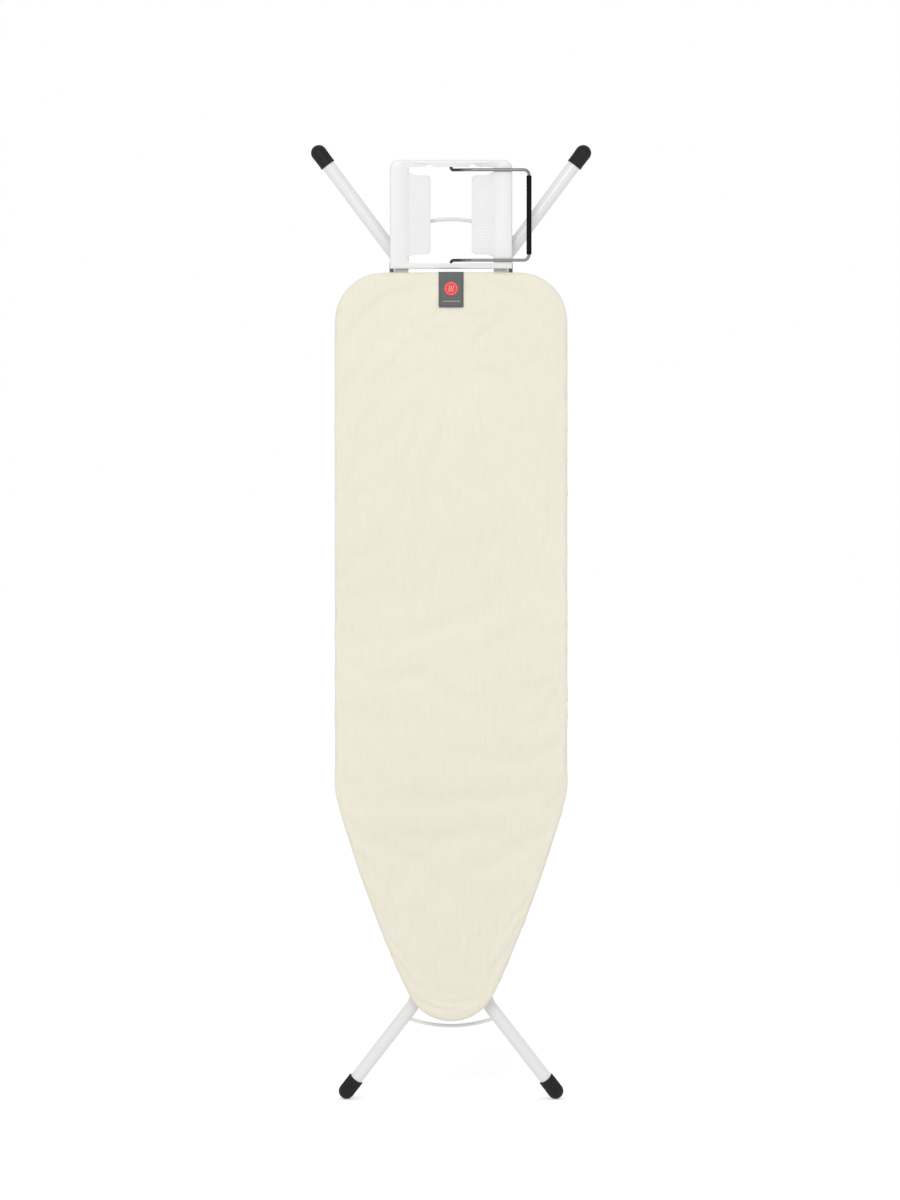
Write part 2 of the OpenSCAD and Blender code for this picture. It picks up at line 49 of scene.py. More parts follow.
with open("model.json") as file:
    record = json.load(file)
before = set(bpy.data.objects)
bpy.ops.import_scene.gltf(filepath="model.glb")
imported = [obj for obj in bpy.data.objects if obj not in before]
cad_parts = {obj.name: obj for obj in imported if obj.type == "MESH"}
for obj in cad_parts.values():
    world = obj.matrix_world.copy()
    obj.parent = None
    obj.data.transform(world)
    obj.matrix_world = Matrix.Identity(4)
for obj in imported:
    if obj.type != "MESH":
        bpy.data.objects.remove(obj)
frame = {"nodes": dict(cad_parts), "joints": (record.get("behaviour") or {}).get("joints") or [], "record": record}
cad_low, cad_high = [list(c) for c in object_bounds()]


def low_high(node):
    low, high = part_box(node)
    return Vector(low), Vector(high)


FACE_Y = low_high("cover")[0].y


def mm(*points):
    """Points given in millimetres, in metres."""
    return [tuple(value * MM for value in point) for point in points]


# ---- materials


class Shader:
    """A short way to write a node tree."""

    def __init__(self, name, colour, roughness, metallic=0.0):
        self.mat = bpy.data.materials.new(name)
        self.mat.use_nodes = True
        self.tree = self.mat.node_tree
        self.bsdf = self.tree.nodes["Principled BSDF"]
        self.set("Base Color", (*colour, 1.0))
        self.set("Roughness", roughness)
        self.set("Metallic", metallic)
        self.coords = self.node("ShaderNodeTexCoord").outputs["Object"]

    def node(self, kind, **values):
        made = self.tree.nodes.new(kind)
        for key, value in values.items():
            if hasattr(made, key):
                setattr(made, key, value)
            else:
                made.inputs[key].default_value = value
        return made

    def link(self, source, target):
        self.tree.links.new(source, target)

    def set(self, socket, value):
        self.bsdf.inputs[socket].default_value = value

    def noise(self, scale, detail=3.0, rough=0.5, stretch=None):
        made = self.node("ShaderNodeTexNoise", Scale=scale, Detail=detail, Roughness=rough)
        source = self.coords
        if stretch:
            mapping = self.node("ShaderNodeMapping", Scale=stretch)
            self.link(source, mapping.inputs["Vector"])
            source = mapping.outputs["Vector"]
        self.link(source, made.inputs["Vector"])
        return made.outputs["Fac"]

    def wave(self, scale, direction, distortion=0.0):
        made = self.node("ShaderNodeTexWave", Scale=scale, Distortion=distortion)
        made.bands_direction = direction
        self.link(self.coords, made.inputs["Vector"])
        return made.outputs["Fac"]

    def ramp(self, fac, low, high, start=0.3, end=0.7):
        made = self.node("ShaderNodeMapRange")
        ends = {"From Min": start, "From Max": end, "To Min": low, "To Max": high}
        for key, value in ends.items():
            made.inputs[key].default_value = value
        self.link(fac, made.inputs["Value"])
        return made.outputs["Result"]

    def mix(self, fac, a, b):
        made = self.node("ShaderNodeMix", data_type="RGBA")
        low, high = [socket for socket in made.inputs if socket.type == "RGBA"]
        low.default_value = (*a, 1.0)
        high.default_value = (*b, 1.0)
        self.link(fac, made.inputs[0])
        return [socket for socket in made.outputs if socket.type == "RGBA"][0]

    def maths(self, operation, a, b):
        made = self.node("ShaderNodeMath", operation=operation)
        for slot, value in ((0, a), (1, b)):
            if isinstance(value, (int, float)):
                made.inputs[slot].default_value = value
            else:
                self.link(value, made.inputs[slot])
        return made.outputs["Value"]

    def bump(self, height, distance, strength=1.0):
        made = self.node("ShaderNodeBump", Strength=strength, Distance=distance)
        self.link(height, made.inputs["Height"])
        self.link(made.outputs["Normal"], self.bsdf.inputs["Normal"])

    def colour(self, source):
        self.link(source, self.bsdf.inputs["Base Color"])

    def rough(self, source):
        self.link(source, self.bsdf.inputs["Roughness"])


def painted(name, colour, roughness=0.32):
    """Powder-coated steel: faint orange peel, faint tone changes, dust-matt patches."""
    s = Shader(name, colour, roughness)
    peel = s.noise(420.0, 2.0)
    patch = s.noise(9.0, 4.0)
    s.colour(s.mix(s.ramp(patch, 0.0, 1.0, 0.2, 0.8), [c * 0.985 for c in colour], colour))
    s.rough(s.ramp(patch, roughness - 0.05, roughness + 0.08))
    s.bump(peel, 0.00006, 0.15)
    s.set("Coat Weight", 0.15)
    s.set("Coat Roughness", 0.25)
    return s.mat


def bare_steel(name, colour, roughness=0.3):
    """Plated steel with a fine grain and faint stains."""
    s = Shader(name, colour, roughness, 1.0)
    grain = s.noise(900.0, 3.0)
    stain = s.noise(30.0, 4.0)
    s.rough(s.ramp(stain, roughness - 0.06, roughness + 0.12))
    s.colour(s.mix(s.ramp(stain, 0.0, 1.0), [c * 0.88 for c in colour], colour))
    s.bump(grain, 0.00004, 0.5)
    return s.mat


def moulded(name, colour, roughness=0.5, grain_size=700.0, gloss=0.2, worn=1.4):
    """Moulded plastic or rubber with a fine grain; worn is how far scuffs change the tone."""
    s = Shader(name, colour, roughness)
    grain = s.noise(grain_size, 2.0)
    scuff = s.noise(60.0, 5.0)
    s.rough(s.ramp(scuff, roughness - 0.08, roughness + 0.12))
    s.colour(s.mix(s.ramp(scuff, 0.0, 1.0, 0.45, 0.75), colour, [c * worn for c in colour]))
    s.bump(grain, 0.00005, 0.4)
    s.set("Specular IOR Level", gloss)
    return s.mat


def drawn_wire(name, colour, roughness, hinge_shade):
    """Drawn steel wire, with painted shade on its first few centimetres by the hinge, where it runs back behind
    the plate.
    """
    s = Shader(name, colour, roughness, 1.0)
    place = s.node("ShaderNodeSeparateXYZ")
    s.link(s.coords, place.inputs["Vector"])
    # painted shade: the colour ramps from the dark shade colour at x = 13 mm to the wire's own colour at 24 mm
    near = s.ramp(place.outputs["X"], 0.0, 1.0, 13 * MM, 24 * MM)
    s.colour(s.mix(near, hinge_shade, colour))
    s.bump(s.noise(900.0, 3.0, stretch=(0.1, 1.0, 1.0)), 0.00003, 0.3)
    return s.mat


def woven(name, colour, pitch, shade=0.94, sheen=0.25, mottle=0.03):
    """Plain weave: two sets of threads of the given pitch, slubs, and a soft sheen."""
    s = Shader(name, colour, 0.92)
    threads = 2 * math.pi / pitch / 20.0
    warp = s.wave(threads, "X", 0.6)
    weft = s.wave(threads, "Z", 0.6)
    cloth = s.maths("ADD", warp, weft)
    slub = s.noise(190.0, 3.0, stretch=(1.0, 1.0, 0.15))
    broad = s.noise(3.0, 2.0)
    tone = s.maths("ADD", s.maths("MULTIPLY", slub, 0.5), s.maths("MULTIPLY", broad, 0.5))
    dark = [c * (shade - mottle) for c in colour]
    s.colour(s.mix(s.ramp(tone, 0.0, 1.0, 0.2, 0.8), dark, colour))
    s.bump(cloth, pitch * 0.12, 0.5)
    s.set("Sheen Weight", sheen)
    s.set("Sheen Roughness", 0.5)
    s.set("Specular IOR Level", 0.2)
    return s.mat


def foam_like(name, colour):
    """Open-cell foam: fine round cells and a faint change of tone."""
    s = Shader(name, colour, 0.95)
    cells = s.node("ShaderNodeTexVoronoi", Scale=900.0)
    s.link(s.coords, cells.inputs["Vector"])
    s.colour(s.mix(s.ramp(s.noise(12.0), 0.0, 1.0), [c * 0.93 for c in colour], colour))
    s.bump(cells.outputs["Distance"], 0.0004, 0.6)
    s.set("Specular IOR Level", 0.15)
    return s.mat


WHITE = (0.79, 0.79, 0.79)
CREAM = (0.865, 0.815, 0.69)
MATERIALS = {
    "cover_cloth": woven("cover_cloth", CREAM, 0.0007),
    "foam": foam_like("foam", (0.8, 0.8, 0.77)),
    "deck_steel": painted("deck_steel", (0.62, 0.63, 0.64), 0.4),
    "white_steel": painted("white_steel", WHITE),
    "white_tube": painted("white_tube", WHITE, 0.28),
    "rest_steel": painted("rest_steel", WHITE, 0.36),
    "rest_pad": moulded("rest_pad", (0.785, 0.785, 0.785), 0.45, 900.0, 0.3, 0.985),
    "bare_steel": bare_steel("bare_steel", (0.62, 0.62, 0.63)),
    # the last colour is the painted shade on the wire next to its hinge
    "wire": drawn_wire("wire", (0.2, 0.2, 0.203), 0.3, (0.06, 0.06, 0.06)),
    "black_plastic": moulded("black_plastic", (0.014, 0.014, 0.015), 0.42),
    "black_rubber": moulded("black_rubber", (0.012, 0.012, 0.0125), 0.55, 500.0),
    "label_cloth": woven("label_cloth", (0.155, 0.16, 0.162), 0.0009, 0.8, 0.1),
    "label_red": woven("label_red", (0.87, 0.085, 0.072), 0.0006, 0.95, 0.1),
}
PALE_THREAD = woven("pale_thread", (0.72, 0.72, 0.7), 0.0005)
CREAM_THREAD = woven("cream_thread", (0.74, 0.69, 0.57), 0.0005)
ELASTIC = woven("elastic", (0.78, 0.76, 0.7), 0.0012)
GRIP_RUBBER = moulded("grip_rubber", (0.005, 0.005, 0.0053), 0.5, 500.0, 0.07)
# painted highlight: the raised dots get a lighter, glossier copy of the pad's plastic so that they read as lit
DOT_HIGHLIGHT = moulded("dot_highlight", (0.9, 0.9, 0.9), 0.35, 900.0, 0.4, 0.99)
GREY_PLASTIC = moulded("grey_plastic", (0.17, 0.17, 0.175), 0.5, 700.0, 0.2, 1.1)

# The material slot of each CAD node.
SLOT_OF = {row["node"]: row["material_slot"] for row in frame["record"]["subparts"]}


# ---- mesh helpers


def finish_piece(obj, slot, body, replaced=(), material=None):
    obj.data.materials.clear()
    obj.data.materials.append(material or MATERIALS[slot])
    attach(obj, body)
    if replaced:
        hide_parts(*replaced)
    return obj


def place(name, data):
    """A new object in the scene."""
    obj = bpy.data.objects.new(name, data)
    bpy.context.collection.objects.link(obj)
    return obj


def new_object(name, mesh_data, smooth=True):
    obj = place(name, mesh_data)
    if smooth:
        mesh_data.polygons.foreach_set("use_smooth", [True] * len(mesh_data.polygons))
    return obj


def from_data(name, verts, faces, smooth=True):
    data = bpy.data.meshes.new(name)
    data.from_pydata([tuple(v) for v in verts], [], faces)
    data.update()
    return new_object(name, data, smooth)


def from_bmesh(name, bm, smooth=True):
    data = bpy.data.meshes.new(name)
    bm.to_mesh(data)
    bm.free()
    return new_object(name, data, smooth)


def sharpen(obj, degrees=40.0):
    """Splits the shading at hard edges and keeps the rest smooth."""
    bm = bmesh.new()
    bm.from_mesh(obj.data)
    limit = math.radians(degrees)
    for edge in bm.edges:
        edge.smooth = not (len(edge.link_faces) == 2 and edge.calc_face_angle(0.0) > limit)
    bm.to_mesh(obj.data)
    bm.free()
    return obj


def clean(obj, weld=1e-6, outward=True):
    """Welds points closer than weld, and turns every face outward."""
    bm = bmesh.new()
    bm.from_mesh(obj.data)
    if weld:
        bmesh.ops.remove_doubles(bm, verts=bm.verts, dist=weld)
    if outward:
        bmesh.ops.recalc_face_normals(bm, faces=bm.faces)
    bm.to_mesh(obj.data)
    bm.free()
    return obj


def ease_edges(obj, width, degrees):
    """A fine two-step bevel on every edge sharper than an angle."""
    limit = math.radians(degrees)
    modify(obj, "BEVEL", width=width, segments=2, limit_method="ANGLE", angle_limit=limit)


def modify(obj, kind, **values):
    mod = obj.modifiers.new(kind.title(), kind)
    for key, value in values.items():
        setattr(mod, key, value)
    return mod


def apply_modifiers(obj):
    graph = bpy.context.evaluated_depsgraph_get()
    data = bpy.data.meshes.new_from_object(obj.evaluated_get(graph))
    obj.modifiers.clear()
    obj.data = data
    return obj


def fillet(points, radii, steps=8):
    """A polyline with its inner corners rounded by arcs of the given radii."""
    pts = [Vector(p) for p in points]
    out = [pts[0]]
    for before, here, after, radius in zip(pts, pts[1:], pts[2:], radii):
        u, v = (before - here).normalized(), (after - here).normalized()
        half = u.angle(v) / 2
        back = radius / math.tan(half)
        middle = here + (u + v).normalized() * (radius / math.sin(half))
        start, end = here + u * back - middle, here + v * back - middle
        turn = start.angle(end)
        for k in range(steps + 1):
            t = k / steps
            spun = start * math.sin((1 - t) * turn) + end * math.sin(t * turn)
            out.append(middle + spun / math.sin(turn))
    out.append(pts[-1])
    return out


def ring_at(bm, centre, side, other, radius, sides):
    """New points round a centre, in the plane of two directions."""
    turns = [2 * math.pi * k / sides for k in range(sides)]
    return [bm.verts.new(centre + (side * math.cos(a) + other * math.sin(a)) * radius) for a in turns]


def skin(bm, rings, ends=True):
    """Faces between successive rings of points, and over both ends."""
    for lower, upper in zip(rings, rings[1:]):
        for k in range(len(lower)):
            j = (k + 1) % len(lower)
            bm.faces.new((lower[k], lower[j], upper[j], upper[k]))
    if ends:
        bm.faces.new(rings[0][::-1])
        bm.faces.new(rings[-1])


def sweep(name, path, radius, sides=32, radius_at=None, ends=True):
    """A round bar along a path; radius_at(i) may change its radius."""
    pts = [Vector(p) for p in path]
    tangents = []
    for i, p in enumerate(pts):
        a, b = pts[max(i - 1, 0)], pts[min(i + 1, len(pts) - 1)]
        tangents.append((b - a).normalized())
    side = tangents[0].orthogonal().normalized()
    bm = bmesh.new()
    rings = []
    for i, (p, t) in enumerate(zip(pts, tangents)):
        side = (side - t * side.dot(t)).normalized()
        r = radius_at(i) if radius_at else radius
        rings.append(ring_at(bm, p, side, t.cross(side), r, sides))
    skin(bm, rings, ends)
    return sharpen(from_bmesh(name, bm))


def lathe(name, profile, origin, axis, sides=48, shape=None, slide=None):
    """Turns (along, radius) points about an axis through origin.

    shape(along, radius, angle) may vary the radius, and slide(along, angle) may move a point along the axis.
    """
    axis = Vector(axis).normalized()
    side = axis.orthogonal().normalized()
    other = axis.cross(side)
    bm = bmesh.new()
    rings = []
    for along, radius in profile:
        centre = Vector(origin) + axis * along
        if radius < 1e-7:
            rings.append([bm.verts.new(centre)])
            continue
        ring = []
        for k in range(sides):
            a = 2 * math.pi * k / sides
            r = shape(along, radius, a) if shape else radius
            shift = axis * slide(along, a) if slide else Vector()
            ring.append(bm.verts.new(centre + shift + (side * math.cos(a) + other * math.sin(a)) * r))
        rings.append(ring)
    for lower, upper in zip(rings, rings[1:]):
        for k in range(sides):
            j = (k + 1) % sides
            if len(lower) == 1:
                bm.faces.new((lower[0], upper[j], upper[k]))
            elif len(upper) == 1:
                bm.faces.new((lower[k], lower[j], upper[0]))
            else:
                bm.faces.new((lower[k], lower[j], upper[j], upper[k]))
    bmesh.ops.recalc_face_normals(bm, faces=bm.faces)
    return sharpen(from_bmesh(name, bm))


def rings_mesh(loops, closed=False):
    """Quads between successive loops of the same number of points, and over both ends if closed."""
    verts, faces, n = [], [], len(loops[0])
    for loop in loops:
        verts.extend(loop)
    for k in range(len(loops) - 1):
        for i in range(n):
            j = (i + 1) % n
            faces.append((k * n + i, k * n + j, (k + 1) * n + j, (k + 1) * n + i))
    if closed:
        faces.append(tuple(range(n))[::-1])
        faces.append(tuple(range((len(loops) - 1) * n, len(loops) * n)))
    return verts, faces


def flat_sheet(name, loops, y, thickness, bevel):
    """A flat plate in the XZ plane from closed loops (outer first, then holes), edges rounded."""
    curve = bpy.data.curves.new(name, "CURVE")
    curve.dimensions = "2D"
    curve.fill_mode = "BOTH"
    curve.extrude = thickness / 2 - bevel
    curve.bevel_depth = bevel
    curve.bevel_resolution = 2
    for loop in loops:
        spline = curve.splines.new("POLY")
        spline.points.add(len(loop) - 1)
        for point, (x, z) in zip(spline.points, loop):
            point.co = (x, z, 0.0, 1.0)
        spline.use_cyclic_u = True
    carrier = place(name + "_curve", curve)
    graph = bpy.context.evaluated_depsgraph_get()
    data = bpy.data.meshes.new_from_object(carrier.evaluated_get(graph))
    bpy.data.objects.remove(carrier)
    data.transform(Matrix.Translation((0, y, 0)) @ Matrix.Rotation(math.radians(90), 4, "X"))
    data.name = name
    return sharpen(clean(new_object(name, data)))


def rounded_rect(x0, x1, z0, z1, radii, steps=6):
    """Points of a rectangle with corner radii (lower left, lower right, upper right, upper left)."""
    if not isinstance(radii, tuple):
        radii = (radii,) * 4
    out = []
    corners = ((x0, z0, 1, 1, 180), (x1, z0, -1, 1, 270), (x1, z1, -1, -1, 0), (x0, z1, 1, -1, 90))
    for (x, z, sx, sz, start), r in zip(corners, radii):
        for k in range(steps + 1):
            a = math.radians(start + 90 * k / steps)
            out.append((x + sx * r + r * math.cos(a), z + sz * r + r * math.sin(a)))
    return out


def denser(loop, step):
    """The same closed outline with extra points, no more than step apart."""
    out = []
    for (xa, za), (xb, zb) in zip(loop, loop[1:] + loop[:1]):
        parts = max(1, math.ceil(math.dist((xa, za), (xb, zb)) / step))
        out += [(xa + (xb - xa) * k / parts, za + (zb - za) * k / parts) for k in range(parts)]
    return out


def quarter_round(radius, angles):
    """(inset, set-back) pairs of a quarter-round edge: 0 degrees is the face, 90 the side."""
    turns = [math.radians(a) for a in angles]
    return [(radius * (1 - math.sin(a)), radius * (1 - math.cos(a))) for a in turns]


def join(name, objects):
    """Makes one new piece of several mesh objects."""
    bm = bmesh.new()
    for obj in objects:
        data = obj.data.copy()
        data.transform(obj.matrix_world)
        bm.from_mesh(data)
        bpy.data.objects.remove(obj)
    return from_bmesh(name, bm, smooth=False)


# ---- board outline, read from the CAD cover


def hull_2d(points):
    """The convex hull of 2-D points, counterclockwise."""
    points = sorted(set(points))
    chains = []
    for ordered in (points, points[::-1]):
        chain = []
        for p in ordered:
            while len(chain) > 1:
                (ax, az), (bx, bz) = chain[-2:]
                if (bx - ax) * (p[1] - az) - (bz - az) * (p[0] - ax) > 0:
                    break
                chain.pop()
            chain.append(p)
        chains.append(chain[:-1])
    return chains[0] + chains[1]


def closed_run(points):
    """A loop's points with the first one repeated, and the distance run to each."""
    closed = np.vstack([points, points[:1]])
    steps = np.linalg.norm(np.diff(closed, axis=0), axis=1)
    return closed, np.concatenate([[0], np.cumsum(steps)])


def board_outline(count):
    """Evenly spaced points round the ironing face, from the nose tip, with outward normals."""
    cover = frame["nodes"]["cover"]
    places = [cover.matrix_world @ v.co for v in cover.data.vertices]
    hull = hull_2d([(round(p.x, 6), round(p.z, 6)) for p in places if p.y < FACE_Y + 1e-5])
    pts = np.array(hull)
    start = int(np.argmin(pts[:, 1] + np.abs(pts[:, 0])))
    closed, run = closed_run(np.roll(pts, -start, axis=0))
    at = np.linspace(0, run[-1], count, endpoint=False)
    even = np.stack([np.interp(at, run, closed[:, k]) for k in (0, 1)], axis=1)
    for _ in range(6):
        even = (np.roll(even, 1, 0) + 2 * even + np.roll(even, -1, 0)) / 4
    mirrored = np.roll(even[::-1], 1, 0) * (-1, 1)
    even = (even + mirrored) / 2
    tangent = np.roll(even, -1, 0) - np.roll(even, 1, 0)
    tangent /= np.linalg.norm(tangent, axis=1)[:, None]
    normal = np.stack([tangent[:, 1], -tangent[:, 0]], axis=1)
    return even, normal, at / run[-1]


OUT_N = 420
OUTLINE, NORMAL, AROUND = board_outline(OUT_N)
NOSE_Z = float(OUTLINE[:, 1].min())
TOP_Z = float(OUTLINE[:, 1].max())
HALF_W = float(OUTLINE[:, 0].max())
SPINE_LOW = NOSE_Z + 0.10
SPINE_HIGH = TOP_Z - 0.17
SPINE_WELD = 0.01 * MM


def inset_loop(inset, y):
    """The outline moved inward by inset metres, at depth y (numbers or one value per point)."""
    flat = OUTLINE - NORMAL * np.reshape(inset * np.ones(OUT_N), (-1, 1))
    return np.stack([flat[:, 0], y * np.ones(OUT_N), flat[:, 1]], axis=1)


def spine_loops(loop, count):
    """Loops that shrink from a given one to the board's middle line."""
    spine = np.zeros_like(loop)
    spine[:, 1] = loop[:, 1]
    spine[:, 2] = np.clip(OUTLINE[:, 1], SPINE_LOW, SPINE_HIGH)
    return [spine + (loop - spine) * (1 - k / count) for k in range(1, count + 1)]


def slab(name, inset, y_front, y_back, rounding, rings=40):
    """A flat pad with the board's outline and rounded edges, as one closed mesh."""
    edge = quarter_round(rounding, (0, 22, 45, 68, 90))
    front = [inset_loop(inset + i, y_front + y) for i, y in edge]
    back = [inset_loop(inset + i, y_back - y) for i, y in edge[::-1]]
    loops = spine_loops(front[0], rings)[::-1] + front + back + spine_loops(back[-1], rings)
    verts, faces = rings_mesh([loop.tolist() for loop in loops])
    return clean(from_data(name, verts, faces), SPINE_WELD)


# ---- camera, floor and light

AIM = Vector((-0.0018, 0.0, 0.8335))
CAM_DISTANCE = 9.0
CAM_ELEVATION = math.radians(2.0)
VIEW_HEIGHT = 1.992
ROOM_LIGHT = 0.80
PAPER_GLOW = 0.27
KEY_WATTS = 124.0


def make_stage():
    camera_data = bpy.data.cameras.new("camera")
    camera = place("camera", camera_data)
    offset = Vector((0, -math.cos(CAM_ELEVATION), math.sin(CAM_ELEVATION))) * CAM_DISTANCE
    camera.location = AIM + offset
    camera.rotation_euler = (math.radians(90) - CAM_ELEVATION, 0, 0)
    camera_data.sensor_fit = "VERTICAL"
    camera_data.sensor_height = 36.0
    camera_data.lens = 36.0 * CAM_DISTANCE / VIEW_HEIGHT
    bpy.context.scene.camera = camera

    floor = from_data("floor", [(-25, -25, 0), (25, -25, 0), (25, 25, 0), (-25, 25, 0)], [(0, 1, 2, 3)])
    paper = Shader("floor_paper", (0.93, 0.93, 0.93), 0.9)
    paper.set("Emission Color", (1.0, 1.0, 1.0, 1.0))
    paper.set("Emission Strength", PAPER_GLOW)
    paper.set("Specular IOR Level", 0.0)
    floor.data.materials.append(paper.mat)
    floor.visible_diffuse = False
    bpy.context.scene.world = studio_world()
    bpy.context.scene.view_settings.view_transform = "Standard"

    lamp_data = bpy.data.lights.new("softbox", "AREA")
    lamp_data.size = 2.4
    lamp_data.energy = KEY_WATTS
    lamp = place("softbox", lamp_data)
    lamp.location = (-0.8, -6.0, 3.4)
    aim = Vector((0, 0, 0.7)) - lamp.location
    lamp.rotation_euler = aim.to_track_quat("-Z", "Y").to_euler()


def studio_world():
    """A white room: a little softer as a light than as a backdrop."""
    world = bpy.data.worlds.new("studio")
    world.use_nodes = True
    nodes, links = world.node_tree.nodes, world.node_tree.links
    room = nodes["Background"]
    room.inputs["Color"].default_value = (1, 1, 1, 1)
    room.inputs["Strength"].default_value = ROOM_LIGHT
    backdrop = nodes.new("ShaderNodeBackground")
    backdrop.inputs["Color"].default_value = (1, 1, 1, 1)
    backdrop.inputs["Strength"].default_value = 1.0
    seen = nodes.new("ShaderNodeLightPath")
    both = nodes.new("ShaderNodeMixShader")
    links.new(seen.outputs["Is Camera Ray"], both.inputs[0])
    links.new(room.outputs[0], both.inputs[1])
    links.new(backdrop.outputs[0], both.inputs[2])
    links.new(both.outputs[0], nodes["World Output"].inputs["Surface"])
    return world


make_stage()


# ---- cover, pad and deck

HEM_Y = low_high("cover")[1].y
CLOTH = 1.1 * MM
EDGE_R = 6.5 * MM
UNDER_R = 3.0 * MM
HEM_W = 36 * MM
DENT_Z, DENT_REACH, DENT_DEEP = NOSE_Z + 0.84, 0.085, 0.9 * MM
RIM_ROOM = 0.4 * MM
PLEATS = 96
SPINE_RINGS = 64
CREASES = (  # side, height, reach from the edge, depth in mm
    (-1, 0.951, 0.05, 0.6),
    (1, 0.994, 0.06, 0.6),
    (1, 0.918, 0.04, 0.4),
    (-1, 0.43, 0.05, 0.4),
)


def lumps(*layers):
    """A sum of smooth noise fields, each given as a place and its strength."""
    return sum(noise.noise(Vector(at)) * strength for at, strength in layers)


def dents():
    """How far the cloth edge pulls in at each outline point: one soft dent and small unevenness."""
    out = np.zeros(OUT_N)
    for i, (x, z) in enumerate(OUTLINE):
        wobble = lumps(((x * 6, 0.3, z * 7), 0.9), ((x * 20, 2.1, z * 26), 0.45))
        out[i] = (0.5 + 0.5 * wobble) * 0.5 * MM
        if x > 0:
            out[i] += DENT_DEEP * math.exp(-(((z - DENT_Z) / DENT_REACH) ** 2))
    return np.maximum(out, 0.0)


def gathers(amount):
    """Small pleats along the hem, strong where the outline turns and faint on the straight sides."""
    turn = np.linalg.norm(np.roll(NORMAL, -4, 0) - np.roll(NORMAL, 4, 0), axis=1)
    turn = np.clip(turn / turn.max(), 0.12, 1.0)
    for _ in range(8):
        turn = (np.roll(turn, 1) + turn + np.roll(turn, -1)) / 3
    phase = 2 * math.pi * PLEATS * AROUND
    jitter = np.array([noise.noise(Vector((a * 40, 5.0, 0.0))) for a in AROUND]) * 2.5
    return amount * turn * np.sin(phase + jitter)


def make_cover():
    """The cloth from its hem round the rim and over the face, as one sheet with a thickness."""
    pull = dents()
    over_rim = np.minimum(pull, RIM_ROOM)
    pleat = gathers(1.0 * MM)
    loops = []
    hem_steps = 7
    for k in range(hem_steps):
        t = k / hem_steps
        tucked = HEM_W * (1 - t) + UNDER_R * t
        drop = 0.4 * MM * math.sin(math.pi * t)
        loops.append(inset_loop(tucked, HEM_Y + pleat * (1 - t) ** 0.7 - drop))
    for inset, back in quarter_round(UNDER_R, (0, 30, 60, 90)):
        loops.append(inset_loop(over_rim + inset, HEM_Y - back))
    for t in (0.25, 0.5, 0.75):
        y = (HEM_Y - UNDER_R) * (1 - t) + (FACE_Y + EDGE_R) * t
        loops.append(inset_loop(over_rim - np.abs(pleat) * 0.15 * (1 - t), y))
    for inset, back in quarter_round(EDGE_R, (90, 75, 60, 45, 30, 15, 0)):
        tuck = over_rim + (pull - over_rim) * (1 - back / EDGE_R)
        loops.append(inset_loop(tuck + inset, FACE_Y + back))
    rows_before = len(loops)
    loops += spine_loops(loops[-1], SPINE_RINGS)
    verts, faces = rings_mesh([loop.tolist() for loop in loops])
    verts = np.array(verts)
    front = np.arange(len(verts)) >= (rows_before - 4) * OUT_N
    for i in np.flatnonzero(front):
        x, y, z = verts[i]
        soft = lumps(((x * 7, 1.0, z * 5), 0.55), ((x * 30, 4.0, z * 22), 0.16))
        verts[i][1] = y + (0.35 + soft) * MM * 0.8
    for side, z0, span, deep in CREASES:
        crease(verts, front, side, z0, span, deep * MM)
    obj = from_data("cover_cloth", verts, faces)
    face_forward(clean(obj, SPINE_WELD))
    settle(obj)
    modify(obj, "SOLIDIFY", thickness=CLOTH, offset=-1.0)
    finish_piece(obj, "cover_cloth", "board", ["cover"])


def crease(verts, front, side, z0, span, deep):
    """A short pull line in the cloth, running in from one edge."""
    edge = HALF_W * side
    for i in np.flatnonzero(front):
        inward = abs(edge - verts[i][0])
        if inward > span:
            continue
        across = (verts[i][2] - z0 - 0.12 * inward) / 0.0045
        verts[i][1] += deep * math.exp(-across * across) * (1 - inward / span) ** 1.5


def face_forward(obj):
    """Turns the open shell's faces so that its front looks forward."""
    inside_face = Vector((0.1, FACE_Y, 0.8))
    middle = min(obj.data.polygons, key=lambda f: (f.center - inside_face).length)
    if middle.normal.y > 0:
        obj.data.flip_normals()


MOVE_CAP = 2.6 * MM
FORWARD_CAP, BACKWARD_CAP = 2.2 * MM, 0.6 * MM
POLE_REACH = 60 * MM


def coordinates(obj):
    return np.array([v.co for v in obj.data.vertices])


